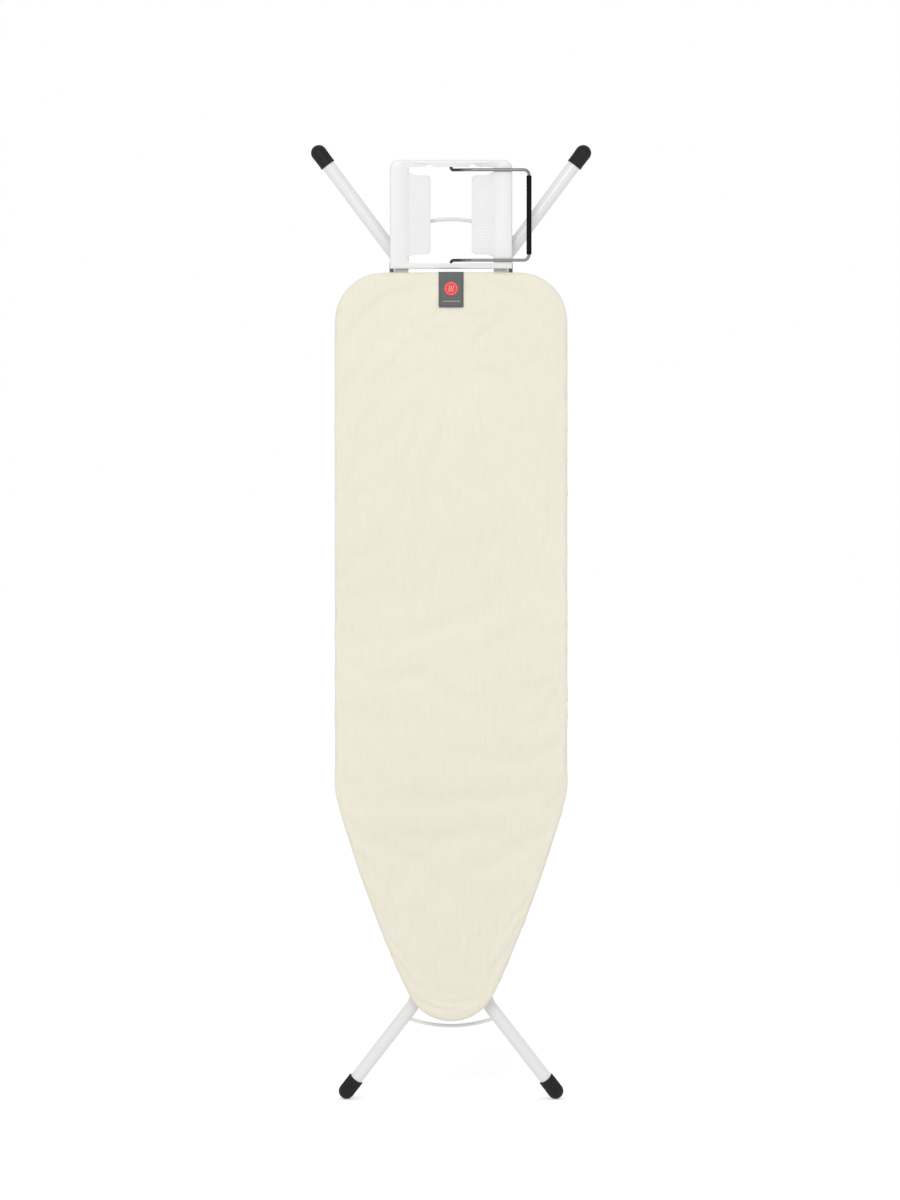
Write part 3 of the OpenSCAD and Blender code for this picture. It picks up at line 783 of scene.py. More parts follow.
def settle(obj):
    """A short cloth simulation: the cloth puffs over the pad, held by its hem.

    Moves are capped, none goes inward, and they are evened out round the ends of the mesh's spine.
    """
    rest = coordinates(obj)
    group = obj.vertex_groups.new(name="pinned")
    held_y = HEM_Y - 6 * MM
    for i, y in enumerate(rest[:, 1]):
        loose = (held_y - y) / (held_y - FACE_Y)
        group.add([i], max(0.0, min(1.0, 1.0 - 1.35 * max(0.0, loose))), "REPLACE")
    cloth = modify(obj, "CLOTH").settings
    cloth.effector_weights.gravity = 0.0
    settings = {
        "vertex_group_mass": "pinned", "quality": 4, "mass": 0.3, "tension_stiffness": 20,
        "compression_stiffness": 8, "bending_stiffness": 2.0, "use_pressure": True,
        "uniform_pressure_force": 0.35, "shrink_min": -0.006,
    }
    for key, value in settings.items():
        setattr(cloth, key, value)
    scene = bpy.context.scene
    for number in range(1, 19):
        scene.frame_set(number)
    apply_modifiers(obj)
    scene.frame_set(1)
    move = coordinates(obj) - rest
    length = np.linalg.norm(move, axis=1)
    move *= np.minimum(1.0, MOVE_CAP / np.maximum(length, 1e-9))[:, None]
    move[:, 1] = np.clip(move[:, 1], -FORWARD_CAP, BACKWARD_CAP)
    spine = np.stack([np.zeros(len(rest)), np.clip(rest[:, 2], SPINE_LOW, SPINE_HIGH)], axis=1)
    outward = rest[:, [0, 2]] - spine
    outward /= np.maximum(np.linalg.norm(outward, axis=1), 1e-9)[:, None]
    inward = np.minimum(0.0, np.sum(move[:, [0, 2]] * outward, axis=1))
    move[:, [0, 2]] -= outward * inward[:, None]
    front = rest[:, 1] < FACE_Y + 4 * MM
    for pole_z in (SPINE_LOW, SPINE_HIGH):
        away = np.hypot(rest[:, 0], rest[:, 2] - pole_z) / POLE_REACH
        around = front & (away > 0.9) & (away < 1.1)
        calm = np.clip(1.6 * (1 - away), 0.0, 1.0)[:, None] * front[:, None]
        move = move * (1 - calm) + np.array([0.0, move[around, 1].mean(), 0.0]) * calm
    obj.data.vertices.foreach_set("co", (rest + move).astype(np.float32).ravel())
    obj.data.update()


def make_hem_cord():
    """The elastic that gathers the hem, showing as a soft bead along the cloth's inner edge."""
    pleat = gathers(1.2 * MM)
    loop = inset_loop(HEM_W, HEM_Y + 0.6 * MM + pleat)
    path = [Vector(p) for p in loop.tolist()]
    obj = sweep("cover_elastic", path + [path[0]], 2.0 * MM, sides=10, ends=False)
    clean(obj, 0.1 * MM, outward=False)
    finish_piece(obj, "cover_cloth", "board", material=ELASTIC)


def make_hem_stitches():
    """One row of running stitches that closes the hem casing on the back."""
    flat = inset_loop(HEM_W - 6 * MM, HEM_Y + CLOTH * 0.2)
    closed, run = closed_run(flat)
    pitch, stitch = 5.2 * MM, 3.4 * MM
    bars = []
    pleat = gathers(0.7 * MM)
    pleat = np.append(pleat, pleat[0])
    for k in range(int(run[-1] / pitch)):
        ends = []
        for s in (k * pitch, k * pitch + stitch):
            ends.append([float(np.interp(s, run, closed[:, c])) for c in range(3)])
            ends[-1][1] += float(np.interp(s, run, pleat))
        bars.append(ends)
    threads("hem_stitches", bars, 0.35 * MM, CREAM_THREAD, "cover_cloth")


def threads(name, bars, radius, material, slot):
    """Many short threads, each a small six-sided bar with pointed ends, in one piece."""
    bm = bmesh.new()
    for start, end in bars:
        a, b = Vector(start), Vector(end)
        along = (b - a).normalized()
        side = along.orthogonal().normalized()
        other = along.cross(side)
        sizes = ((0.0, 0.25), (0.18, 1.0), (0.82, 1.0), (1.0, 0.25))
        skin(bm, [ring_at(bm, a.lerp(b, t), side, other, radius * size, 6) for t, size in sizes])
    finish_piece(from_bmesh(name, bm), slot, "board", material=material)


def make_foam():
    """The pad under the cloth, just clear of it."""
    low, high = low_high("foam_pad")
    obj = slab("foam_cushion", 2.4 * MM + CLOTH, low.y + 0.8 * MM, high.y - 0.2 * MM, 1.8 * MM)
    finish_piece(obj, "foam", "board", ["foam_pad"])


CELL_X = 22 * MM
CELL_Z = 11.5 * MM
STRAND = 1.15 * MM


def make_deck():
    """Expanded metal: diamond cells pressed from one sheet, with a plain border under the rim."""
    low, high = low_high("mesh_deck")
    middle_y = (low.y + high.y) / 2
    bm = bmesh.new()
    grid = {}

    def corner(i, j):
        if (i, j) not in grid:
            grid[i, j] = bm.verts.new((i * CELL_X / 2, middle_y, NOSE_Z + j * CELL_Z / 2))
        return grid[i, j]

    half_i = int(HALF_W / (CELL_X / 2)) + 1
    rows = int((TOP_Z - NOSE_Z) / (CELL_Z / 2)) + 1
    for j in range(1, rows):
        for i in range(-half_i, half_i + 1):
            if (i + j) % 2:
                continue
            z = NOSE_Z + j * CELL_Z / 2
            if (abs(i) + 1) * CELL_X / 2 > half_width(z, 9 * MM):
                continue
            bm.faces.new((corner(i - 1, j), corner(i, j - 1), corner(i + 1, j), corner(i, j + 1)))
    cells = list(bm.faces)
    bmesh.ops.inset_individual(bm, faces=cells, thickness=STRAND, depth=0.0)
    bmesh.ops.delete(bm, geom=cells, context="FACES")
    for v in bm.verts:
        v.co.y += 0.35 * MM * math.sin(v.co.z / CELL_Z * 2 * math.pi)
    obj = from_bmesh("expanded_deck", bm)
    modify(obj, "SOLIDIFY", thickness=1.0 * MM, offset=0.0)
    finish_piece(obj, "deck_steel", "board", ["mesh_deck"])
    edge, inner = 2.2 * MM, 21 * MM
    corners = ((edge, low.y), (inner, low.y), (inner, high.y), (edge, high.y), (edge, low.y))
    verts, faces = rings_mesh([inset_loop(inset, y).tolist() for inset, y in corners])
    rim = sharpen(clean(from_data("deck_border", verts, faces)))
    finish_piece(rim, "deck_steel", "board")


def half_width(z, inset):
    """Half width of the board at a height, less an inset."""
    side = OUTLINE[OUTLINE[:, 0] > 0]
    order = np.argsort(side[:, 1])
    width = float(np.interp(z, side[order, 1], side[order, 0]))
    if z < NOSE_Z + inset or z > TOP_Z - inset:
        return 0.0
    return width - inset


make_cover()
make_hem_cord()
make_hem_stitches()
make_foam()
make_deck()


# ---- places read from the frame

JOINT_AT = {joint["name"]: Vector(joint["pos_m"]) for joint in frame["joints"]}
NOSE_PIVOT = JOINT_AT["fold"]
MIDDLE_BOLT = JOINT_AT["scissor"]
SLIDE_PIVOT = JOINT_AT["shoe_turn"]
LEVER_AXIS = JOINT_AT["lever_turn"]
BAIL_AXIS = JOINT_AT["bail_flip"]
SIDES = ((1, "r"), (-1, "l"))


def side_plate(name, outline, holes, x, thickness, bevel):
    """A flat plate in the YZ plane, centred at x, from (y, z) loops."""
    obj = flat_sheet(name, [outline] + holes, 0.0, thickness, bevel)
    obj.data.transform(Matrix.Translation((x, 0, 0)) @ Matrix.Rotation(math.radians(90), 4, "Z"))
    return obj


def circle_points(a, b, radius, count=32):
    """A circle's points in a plane, counterclockwise."""
    turns = [2 * math.pi * k / count for k in range(count)]
    return [(a + radius * math.cos(t), b + radius * math.sin(t)) for t in turns]


# ---- legs, tie rods and foot caps

TUBE_R = 11 * MM
CAP_R = 13.25 * MM
CAP_LEN = 38.5 * MM
LUG_GAP = 31 * MM
LUG_IN = 20 * MM
LUG_T = 4 * MM
FLOOR_Z = cad_low[2]
CEILING_Z = cad_high[2]


class Leg:
    """One leg frame: two tubes that run from a pivot to an outward bend and on to a foot."""

    def __init__(self, key, body, x, pivot, bend_z, foot_z, angle, bow):
        self.key = key
        self.body = body
        self.x = x
        self.pivot = pivot
        self.bend_z = bend_z
        self.foot_z = foot_z
        self.up = 1 if foot_z > pivot.z else -1
        self.angle = math.radians(angle)
        self.crest_z, self.bow_radius, self.bow_half = bow
        self.y = MIDDLE_BOLT.y

    def foot(self, side):
        out = abs(self.foot_z - self.bend_z) * math.tan(self.angle)
        return Vector((side * (self.x + out), self.y, self.foot_z))

    def bend(self, side):
        return Vector((side * self.x, self.y, self.bend_z))

    def start(self, side):
        return Vector((side * self.x, self.y, self.pivot.z + self.up * LUG_GAP))


OUTER_BOW = (1.465, 186.6 * MM, 102.5 * MM)
INNER_BOW = (0.1225, 213.6 * MM, 71.0 * MM)
OUTER = Leg("a", "outer_legs", 84 * MM, NOSE_PIVOT, 1.394, CEILING_Z - CAP_R, 36.8, OUTER_BOW)
INNER = Leg("b", "inner_legs", 57 * MM, SLIDE_PIVOT, 0.165, FLOOR_Z + CAP_R, 37.7, INNER_BOW)


def make_leg(leg, side, tag):
    """One tube with a crimped mouth, and the flat lug that is welded into it."""
    path = fillet([leg.start(side), leg.bend(side), leg.foot(side)], [45 * MM], 14)
    up = Vector((0, 0, leg.up))
    nose = [path[0] + up * (t * MM) for t in (0.0, 0.6, 1.8, 3.6)]
    path = nose + path[1:]
    mouth = {0: 8.2 * MM, 1: 9.7 * MM, 2: 10.7 * MM}
    tube = sweep("tube", path, TUBE_R, 44, radius_at=lambda i: mouth.get(i, TUBE_R))
    ring = circle_points(leg.pivot.y, leg.pivot.z, 9.5 * MM, 40)
    far = leg.pivot.z + leg.up * (LUG_GAP + LUG_IN)
    near = leg.pivot.z + leg.up * LUG_GAP
    tail = [(leg.y + s * 10 * MM, z) for s in (-1, 1) for z in (near, far)]
    outline = hull_2d([(round(a, 6), round(b, 6)) for a, b in ring + tail])
    hole = circle_points(leg.pivot.y, leg.pivot.z, 5.05 * MM)
    lug = side_plate("lug", outline, [hole], side * leg.x, LUG_T, 0.5 * MM)
    obj = join(f"leg_{leg.key}_tube_{tag}_smooth", [tube, lug])
    finish_piece(obj, "white_tube", leg.body, [f"leg_{leg.key}_tube_{tag}"])


def weld_beads(leg, side, tag):
    """The two weld beads where a lug enters its tube end."""
    beads = []
    for s in (-1, 1):
        x = side * leg.x + s * LUG_T / 2
        points = []
        base_z = leg.start(side).z + leg.up * 0.4 * MM
        for k in range(22):
            reach = (k / 21 - 0.5) * 17 * MM
            rise = 0.25 * MM * math.sin(k * 2.6)
            points.append(Vector((x + s * 0.4 * MM, leg.y + reach, base_z + rise)))
        beads.append(sweep("bead", points, 0.0, 10, lambda i: (1.25 + 0.3 * math.sin(i * 1.9)) * MM))
    obj = join(f"leg_{leg.key}_weld_{tag}", beads)
    finish_piece(obj, "white_tube", leg.body)


def bowed_rod(leg, node):
    """A round bar bowed between the two feet tubes, its ends welded into them."""
    radius = leg.bow_radius
    spread = math.asin(leg.bow_half / radius)
    points = []
    for k in range(61):
        a = spread * (2 * k / 60 - 1)
        z = leg.crest_z - leg.up * radius * (1 - math.cos(a))
        points.append(Vector((radius * math.sin(a), leg.y, z)))
    obj = sweep(node + "_smooth", points, 3 * MM, 24)
    finish_piece(obj, "white_steel", leg.body, [node])


CAP_MOUTH = mm((9, 10.8), (0.5, 11.1), (0, 11.6), (0, 12.55), (0.3, 13.05), (0.9, 13.25))
SMOOTH_WALL = mm((2.4, 13.25), (3.2, 12.9), (12, 12.95))
RIBBED_WALL = mm(*[(along, 13.25) for along in (2.2, 3.2, 4.2, 7, 10, 13, 16, 19, 22, 23.25, 24.75)])


def foot_cap(leg, side, tag, ribbed):
    """A rubber cap pushed on a tube end: a smooth dome, or a ribbed one with a scalloped mouth."""
    foot = leg.foot(side)
    axis = (foot - leg.bend(side)).normalized()
    mouth = CAP_R - CAP_LEN
    wall = RIBBED_WALL if ribbed else SMOOTH_WALL
    profile = [(mouth + along, radius) for along, radius in CAP_MOUTH + wall]
    for k in range(15):
        a = math.radians(90 * k / 14)
        profile.append((CAP_R * math.sin(a), CAP_R * math.cos(a) if k < 14 else 0.0))

    def ribs(along, radius, angle):
        if radius < TUBE_R + 0.7 * MM or along < mouth + 3 * MM or along > 6 * MM:
            return radius
        fade = min(1.0, (along - mouth - 3 * MM) / (2 * MM), (6 * MM - along) / (5 * MM))
        groove = max(0.0, math.cos(16 * angle)) ** 2
        return radius - 0.95 * MM * fade * groove

    normal = axis.orthogonal().normalized()
    other = axis.cross(normal)
    sideways = axis.cross(Vector((0, 1, 0))).normalized()

    def scallop(along, angle):
        if along > mouth + 5 * MM:
            return 0.0
        reach = (normal * math.cos(angle) + other * math.sin(angle)).dot(sideways)
        fade = 1 - max(0.0, (along - mouth) / (5 * MM))
        return -2.3 * MM * fade * abs(reach) ** 3 + 0.6 * MM * fade

    cuts = (ribs, scallop) if ribbed else ()
    obj = lathe(f"cap_{leg.key}_{tag}_moulded", profile, foot, axis, 96, *cuts)
    finish_piece(obj, "black_rubber", leg.body, [f"cap_{leg.key}_{tag}"])


for leg in (OUTER, INNER):
    bowed_rod(leg, f"leg_{leg.key}_rod")
    for side, tag in SIDES:
        make_leg(leg, side, tag)
        weld_beads(leg, side, tag)
        foot_cap(leg, side, tag, ribbed=leg is INNER)


# ---- pins, bolts, rivets and screws


def turned(name, profile, origin, axis, slot, body, replaced=(), sides=40):
    """A lathed piece that stands in for the named CAD nodes."""
    finish_piece(lathe(name, profile, origin, axis, sides), slot, body, replaced)


def chamfered(length, radius, cut):
    """Profile of a plain pin with a chamfer at both ends."""
    half = [(0.0, 0.0), (0.0, radius - cut), (cut, radius)]
    return half + [(length - along, r) for along, r in half[::-1]]


def dome(base, radius, height, steps=6):
    """Profile of a domed head that rises from base."""
    out = [(base, 0.0), (base, radius)]
    for k in range(steps + 1):
        a = math.radians(90 * k / steps)
        r = radius * math.cos(a) if k < steps else 0.0
        out.append((base + height * (0.35 + 0.65 * math.sin(a)), r))
    return out


def heads(name, node, profile, sides=28, shape=None):
    """The heads of a node's fasteners, seen from the back, joined into one piece."""
    parts = [lathe("head", profile, at, (0, 1, 0), sides, shape) for at in fastener_places(node)]
    finish_piece(join(name, parts), "bare_steel", "board", [node])


def fastener_places(node):
    """Centres of a group's separate solids, at their front face."""
    apart = 12 * MM
    keys = {}
    for x, y, z in coordinates(frame["nodes"][node]):
        for known in keys:
            if abs(known[0] - x) < apart and abs(known[1] - z) < apart:
                keys[known].append((x, y, z))
                break
        else:
            keys[(x, z)] = [(x, y, z)]
    out = []
    for group in keys.values():
        low, high = np.min(group, axis=0), np.max(group, axis=0)
        out.append(Vector(((low[0] + high[0]) / 2, low[1], (low[2] + high[2]) / 2)))
    return out


SCREW = mm((-0.3, 0), (-0.3, 5.0), (0.6, 5.2), (1.9, 4.7), (2.7, 3.6), (3.0, 2.4), (3.0, 2.2),
           (1.0, 1.5), (0.8, 0))
END_CAP = mm((0, 5.05), (0, 7.6), (0.5, 8), (3.6, 8), (5.2, 7.2), (6.2, 5.2), (6.5, 2.6), (6.5, 0))
BOLT = mm((0, 0), (0, 3.4), (0.6, 4), (56, 4), (56, 7), (56.5, 7.5), (58, 7.2), (59.2, 6.0),
          (59.9, 3.4), (60, 0))
NUT = mm((0.9, 4.0), (0.9, 6.6), (1.5, 7.4), (5.6, 7.4), (6.2, 6.6), (6.2, 4.0))
ROD_HALF = 102 * MM
BAR_HALF = 61 * MM
CAP_X = 97.5 * MM
BOLT_X = 39 * MM


def cross_slot(along, radius, angle):
    """Shapes the bottom of a screw's recess as a cross."""
    if radius >= 2.3 * MM:
        return radius
    return radius * (0.55 + 0.45 * abs(math.cos(2 * angle)) ** 3)


heads("bracket_rivet_heads", "bracket_rivets", dome(-0.4 * MM, 4.6 * MM, 1.8 * MM))
heads("rail_rivet_heads", "rail_rivets", dome(-0.4 * MM, 4.1 * MM, 1.6 * MM))
heads("rest_screw_heads", "rest_screws", SCREW, 36, cross_slot)
for node, body, pivot, half in (("pivot_rod", "outer_legs", NOSE_PIVOT, ROD_HALF),
                                ("crossbar", "inner_legs", SLIDE_PIVOT, BAR_HALF)):
    pin = chamfered(2 * half, 5 * MM, 0.6 * MM)
    turned(f"{node}_smooth", pin, pivot - Vector((half, 0, 0)), (1, 0, 0), "bare_steel", body, [node])


def hexagon(along, radius, angle):
    """Shapes a nut's outside as a hexagon with rounded corners."""
    if radius < 4.5 * MM:
        return radius
    turn = (angle + math.pi / 6) % (math.pi / 3) - math.pi / 6
    return min(radius, 6.5 * MM / math.cos(turn))


for side, tag in SIDES:
    axis = Vector((side, 0, 0))
    cap = f"pivot_cap_{tag}"
    turned(f"{cap}_domed", END_CAP, NOSE_PIVOT + axis * CAP_X, axis, "black_plastic", "outer_legs", [cap])
    start = MIDDLE_BOLT + axis * BOLT_X
    parts = [lathe("bolt", BOLT, start, axis, 40), lathe("nut", NUT, start, axis, 48, hexagon)]
    bolt = f"centre_bolt_{tag}"
    finish_piece(join(f"{bolt}_turned", parts), "bare_steel", "outer_legs", [bolt])


# ---- iron rest

PLATE_LOW, PLATE_HIGH = low_high("rest_plate")
PLATE_T = 1.2 * MM
PLATE_CORNER = 13 * MM
FOLD_R = 2.6 * MM
WINDOW_X = 71.2 * MM
WINDOW_LOW, WINDOW_HIGH = 1.391, 1.550
WINDOW_R = 4 * MM
BUMP_X, BUMP_Z, BUMP_R = 36 * MM, 1.546, 8 * MM


def window_loop():
    """The cut-out: a rounded rectangle whose top edge has two round bites for the bail wire."""
    corners = rounded_rect(-WINDOW_X, WINDOW_X, WINDOW_LOW, WINDOW_HIGH, WINDOW_R)
    lower, upper_right, upper_left = corners[:14], corners[14:21], corners[21:]
    reach = math.degrees(math.asin((WINDOW_HIGH - BUMP_Z) / BUMP_R))
    bites = []
    for x in (BUMP_X, -BUMP_X):
        for k in range(13):
            a = math.radians(reach + (180 - 2 * reach) * k / 12)
            bites.append((x + BUMP_R * math.cos(a), BUMP_Z + BUMP_R * math.sin(a)))
    return lower + upper_right + bites + upper_left


def plate_loop(inset, y):
    """The plate's outline moved inward, at a depth."""
    x0, z0 = PLATE_LOW.x + inset, PLATE_LOW.z + inset
    x1, z1 = PLATE_HIGH.x - inset, PLATE_HIGH.z - inset
    small = max(1.2 * MM, 2.0 * MM - inset)
    top = PLATE_CORNER - inset
    return [(x, y, z) for x, z in rounded_rect(x0, x1, z0, z1, (small, small, top, top), 9)]


def make_rest_plate():
    """The sheet with its folded edge and window, and the two hinge barrels."""
    front = PLATE_LOW.y
    back = PLATE_HIGH.y
    bm = bmesh.new()
    loops = [plate_loop(0.0, back), plate_loop(0.0, (back + front) / 2)]
    for inset, away in quarter_round(FOLD_R, (90, 72, 54, 36, 18, 0)):
        loops.append(plate_loop(inset, front + away))
    verts, faces = rings_mesh(loops)
    made = [bm.verts.new(v) for v in verts]
    for face in faces:
        bm.faces.new([made[k] for k in face])
    rim = made[-len(loops[0]):]
    hole = [bm.verts.new((x, front, z)) for x, z in window_loop()]
    edges = []
    for ring in (rim, hole):
        for a, b in zip(ring, ring[1:] + ring[:1]):
            edges.append(bm.edges.get((a, b)) or bm.edges.new((a, b)))
    bmesh.ops.triangle_fill(bm, use_beauty=True, use_dissolve=False, edges=edges)
    bmesh.ops.recalc_face_normals(bm, faces=bm.faces)
    flat = max(bm.faces, key=lambda f: f.calc_area())
    if flat.normal.y > 0:
        bmesh.ops.reverse_faces(bm, faces=bm.faces)
    sheet = from_bmesh("rest_sheet", bm)
    modify(sheet, "SOLIDIFY", thickness=PLATE_T, offset=-1.0, use_quality_normals=True)
    ease_edges(sheet, 0.35 * MM, 50)
    sharpen(apply_modifiers(sheet), 35)
    upper = knuckle(WINDOW_HIGH + 1 * MM, PLATE_HIGH.z - 1.4 * MM)
    lower = knuckle(PLATE_LOW.z + 1.4 * MM, WINDOW_LOW - 0.6 * MM)
    obj = join("rest_plate_formed", [sheet, upper, lower])
    finish_piece(obj, "rest_steel", "board", ["rest_plate"])


def knuckle(low, high):
    """A rolled hinge barrel for the bail's stub, with the tongue that it is rolled from."""
    inner, outer, cut = 2.6 * MM, 5.4 * MM, 0.4 * MM
    half = [(0.0, inner), (0.0, outer - cut), (cut, outer)]
    profile = half + [(high - low - along, r) for along, r in half[::-1]] + half[:1]
    barrel = clean(lathe("barrel", profile, (BAIL_AXIS.x, BAIL_AXIS.y, low), (0, 0, 1), 36))
    tongue_y = PLATE_LOW.y + PLATE_T / 2
    half_t = (BAIL_AXIS.y - inner - tongue_y) / 2
    wide = 5 * MM
    outline = [(-wide, low), (wide, low), (wide, high), (-wide, high)]
    tongue = flat_sheet("tongue", [outline], tongue_y + half_t, 2 * half_t, cut)
    return join("knuckle", [barrel, tongue])


PAD_T = 2.0 * MM
PAD_ROWS = (1, 2, 3, 4, 3, 2, 1)
DOTS_X = 52 * MM
DOTS_Z = (1.502, 1.440)
STUD = mm((0.2, 1.5), (0, 1.45), (-0.3, 1.1), (-0.45, 0.5), (-0.48, 0))


def make_rest_pad(side, tag):
    """A stiff wing behind the plate's window; its free corners are eased back."""
    low, high = low_high(f"rest_pad_{tag}")
    inner = low.x if side > 0 else high.x
    radii = tuple(7 * MM if (side > 0) == (k in (0, 3)) else 1.5 * MM for k in range(4))
    loop = denser(rounded_rect(low.x, high.x, low.z, high.z, radii, 7), 3 * MM)
    spine_x = (low.x + high.x) / 2
    centre = [(spine_x, min(max(z, low.z + 14 * MM), high.z - 14 * MM)) for _, z in loop]
    front, back = low.y, low.y + PAD_T

    def ring(t, inset, y):
        out = []
        for (x, z), (cx, cz) in zip(loop, centre):
            away = Vector((x - cx, z - cz))
            length = away.length
            keep = (length - inset) / length * t
            out.append((cx + away.x * keep, y, cz + away.y * keep))
        return out

    edge = quarter_round(0.7 * MM, (0, 30, 60, 90))
    steps = [0.02] + [k / 10 for k in range(1, 10)]
    loops = [ring(t, 0, front) for t in steps]
    loops += [ring(1.0, inset, front + away) for inset, away in edge]
    loops += [ring(1.0, inset, back - away) for inset, away in edge[::-1]]
    loops += [ring(t, 0, back) for t in steps[::-1]]
    verts, faces = rings_mesh(loops, closed=True)
    eased = []
    middle_z = (low.z + high.z) / 2
    for x, y, z in verts:
        off_edge = abs(x - inner)
        rise = max(0.0, (z - (high.z - 18 * MM)) / (18 * MM)) ** 1.5
        lift = max(0.0, 1 - off_edge / (13 * MM)) ** 2 * rise
        drop = max(0.0, 1 - off_edge / (7 * MM)) ** 2 * 0.5
        t = min(1.0, max(0.0, (off_edge - 22 * MM) / (17 * MM)))
        swell = t * t * (3 - 2 * t) * (6 if z > middle_z else 4) * MM
        eased.append((x, y + (4.0 * lift + drop) * MM, z + swell * (z - middle_z) / (high.z - middle_z)))
    wing = sharpen(clean(from_data(f"rest_pad_{tag}_moulded", eased, faces), 0), 35)
    finish_piece(wing, "rest_pad", "board", [f"rest_pad_{tag}"])
    if side > 0:
        studs = [lathe("stud", STUD, (x, front, z), (0, 1, 0), 14) for x, z in dot_places()]
        dots = join("rest_pad_dots", studs)
        # the dots carry the painted highlight material
        finish_piece(dots, "rest_pad", "board", material=DOT_HIGHLIGHT)


def dot_places():
    """Two diamond patches of small raised dots."""
    out = []
    for middle_z in DOTS_Z:
        for row, count in enumerate(PAD_ROWS):
            z = middle_z + (row - 3) * 5 * MM
            out += [(DOTS_X + (k - (count - 1) / 2) * 6 * MM, z) for k in range(count)]
    return out


make_rest_plate()
for side, tag in SIDES:
    make_rest_pad(side, tag)


# ---- bail wire and its grip

WIRE_R = 2.5 * MM
BAIL_FRONT = BAIL_AXIS.y - 11 * MM
BAIL_REACH = 128.7 * MM
BAIL_ARMS = (1.545, 1.396)
STUB = 12 * MM


def make_bail():
    """The wire from stub to stub, and the sleeve on its outer run."""
    (top, low), out = BAIL_ARMS, BAIL_REACH
    knee = 34 * MM
    points = []
    for z, stub_z in ((top, top + STUB), (low, low - STUB)):
        arm = [(BAIL_AXIS.x, BAIL_AXIS.y, stub_z), (BAIL_AXIS.x, BAIL_AXIS.y, z)]
        arm += [(knee, BAIL_FRONT, z), (out, BAIL_FRONT, z)]
        points += arm if z == top else arm[::-1]
    path = fillet(points, [4 * MM, 13 * MM, 9 * MM, 9 * MM, 13 * MM, 4 * MM], 10)
    wire = sweep("bail_wire_drawn", path, WIRE_R, 28)
    finish_piece(wire, "wire", "bail", ["bail_wire"])
    start = 9.3 * MM
    length = top - low - 2 * start
    grip_r = 4.25 * MM
    half = mm((0, 2.5), (0, 3.15), (0.35, 3.8), (1.1, 4.15), (2.2, 4.25))
    profile = half + [(length / 2, grip_r * 0.985)] + [(length - along, r) for along, r in half[::-1]]
    sleeve = lathe("bail_sleeve_moulded", profile, (out, BAIL_FRONT, low + start), (0, 0, 1), 36)
    finish_piece(sleeve, "black_rubber", "bail", ["bail_sleeve"], GRIP_RUBBER)


make_bail()


# ---- label

LABEL_LOW, LABEL_HIGH = low_high("label")
LABEL_T = 0.6 * MM


def cover_front(low, high):
    """The most forward point of the cover cloth inside a window of x and z."""
    cloth = bpy.data.objects["cover_cloth"].data
    places = [v.co for v in cloth.vertices]
    return min(p.y for p in places if low.x < p.x < high.x and low.z < p.z < high.z)


LABEL_FRONT = cover_front(LABEL_LOW, LABEL_HIGH) - 0.25 * MM - LABEL_T


def label_profile():
    """(y, z) points of the label, from its lower front edge over the board's edge to its back end."""
    top = LABEL_HIGH.z + 0.8 * MM
    radius = 6.5 * MM
    low = LABEL_LOW.z
    points = [(LABEL_FRONT, low + (top - radius - low) * k / 16) for k in range(16)]
    turn = [90 - 90 * k / 8 for k in range(9)]
    points += [(LABEL_FRONT + inset, top - drop) for inset, drop in quarter_round(radius, turn)]
    points += [(LABEL_FRONT + radius + 12 * MM * k / 5, top) for k in range(1, 6)]
    return points


def make_label():
    """The woven tab, laid on the cloth and folded over the board's square edge."""
    profile = label_profile()
    half = LABEL_HIGH.x
    columns = 21
    verts, faces = [], []
    for row, (y, z) in enumerate(profile):
        for k in range(columns):
            x = half * (2 * k / (columns - 1) - 1)
            puff = 0.25 * math.cos(x / half * math.pi / 2) + lumps(((x * 90, 3, z * 60), 0.12))
            verts.append((x, y - puff * MM if z < LABEL_HIGH.z - 6 * MM else y, z))
    for row in range(len(profile) - 1):
        for k in range(columns - 1):
            a = row * columns + k
            faces.append((a, a + 1, a + 1 + columns, a + columns))
    obj = from_data("label_tab", verts, faces)
    modify(obj, "SOLIDIFY", thickness=LABEL_T, offset=-1.0)
    ease_edges(obj, 0.18 * MM, 50)
    finish_piece(obj, "label_cloth", "board", ["label"])


LABEL_THREAD = {"material": PALE_THREAD, "slot": "label_cloth"}


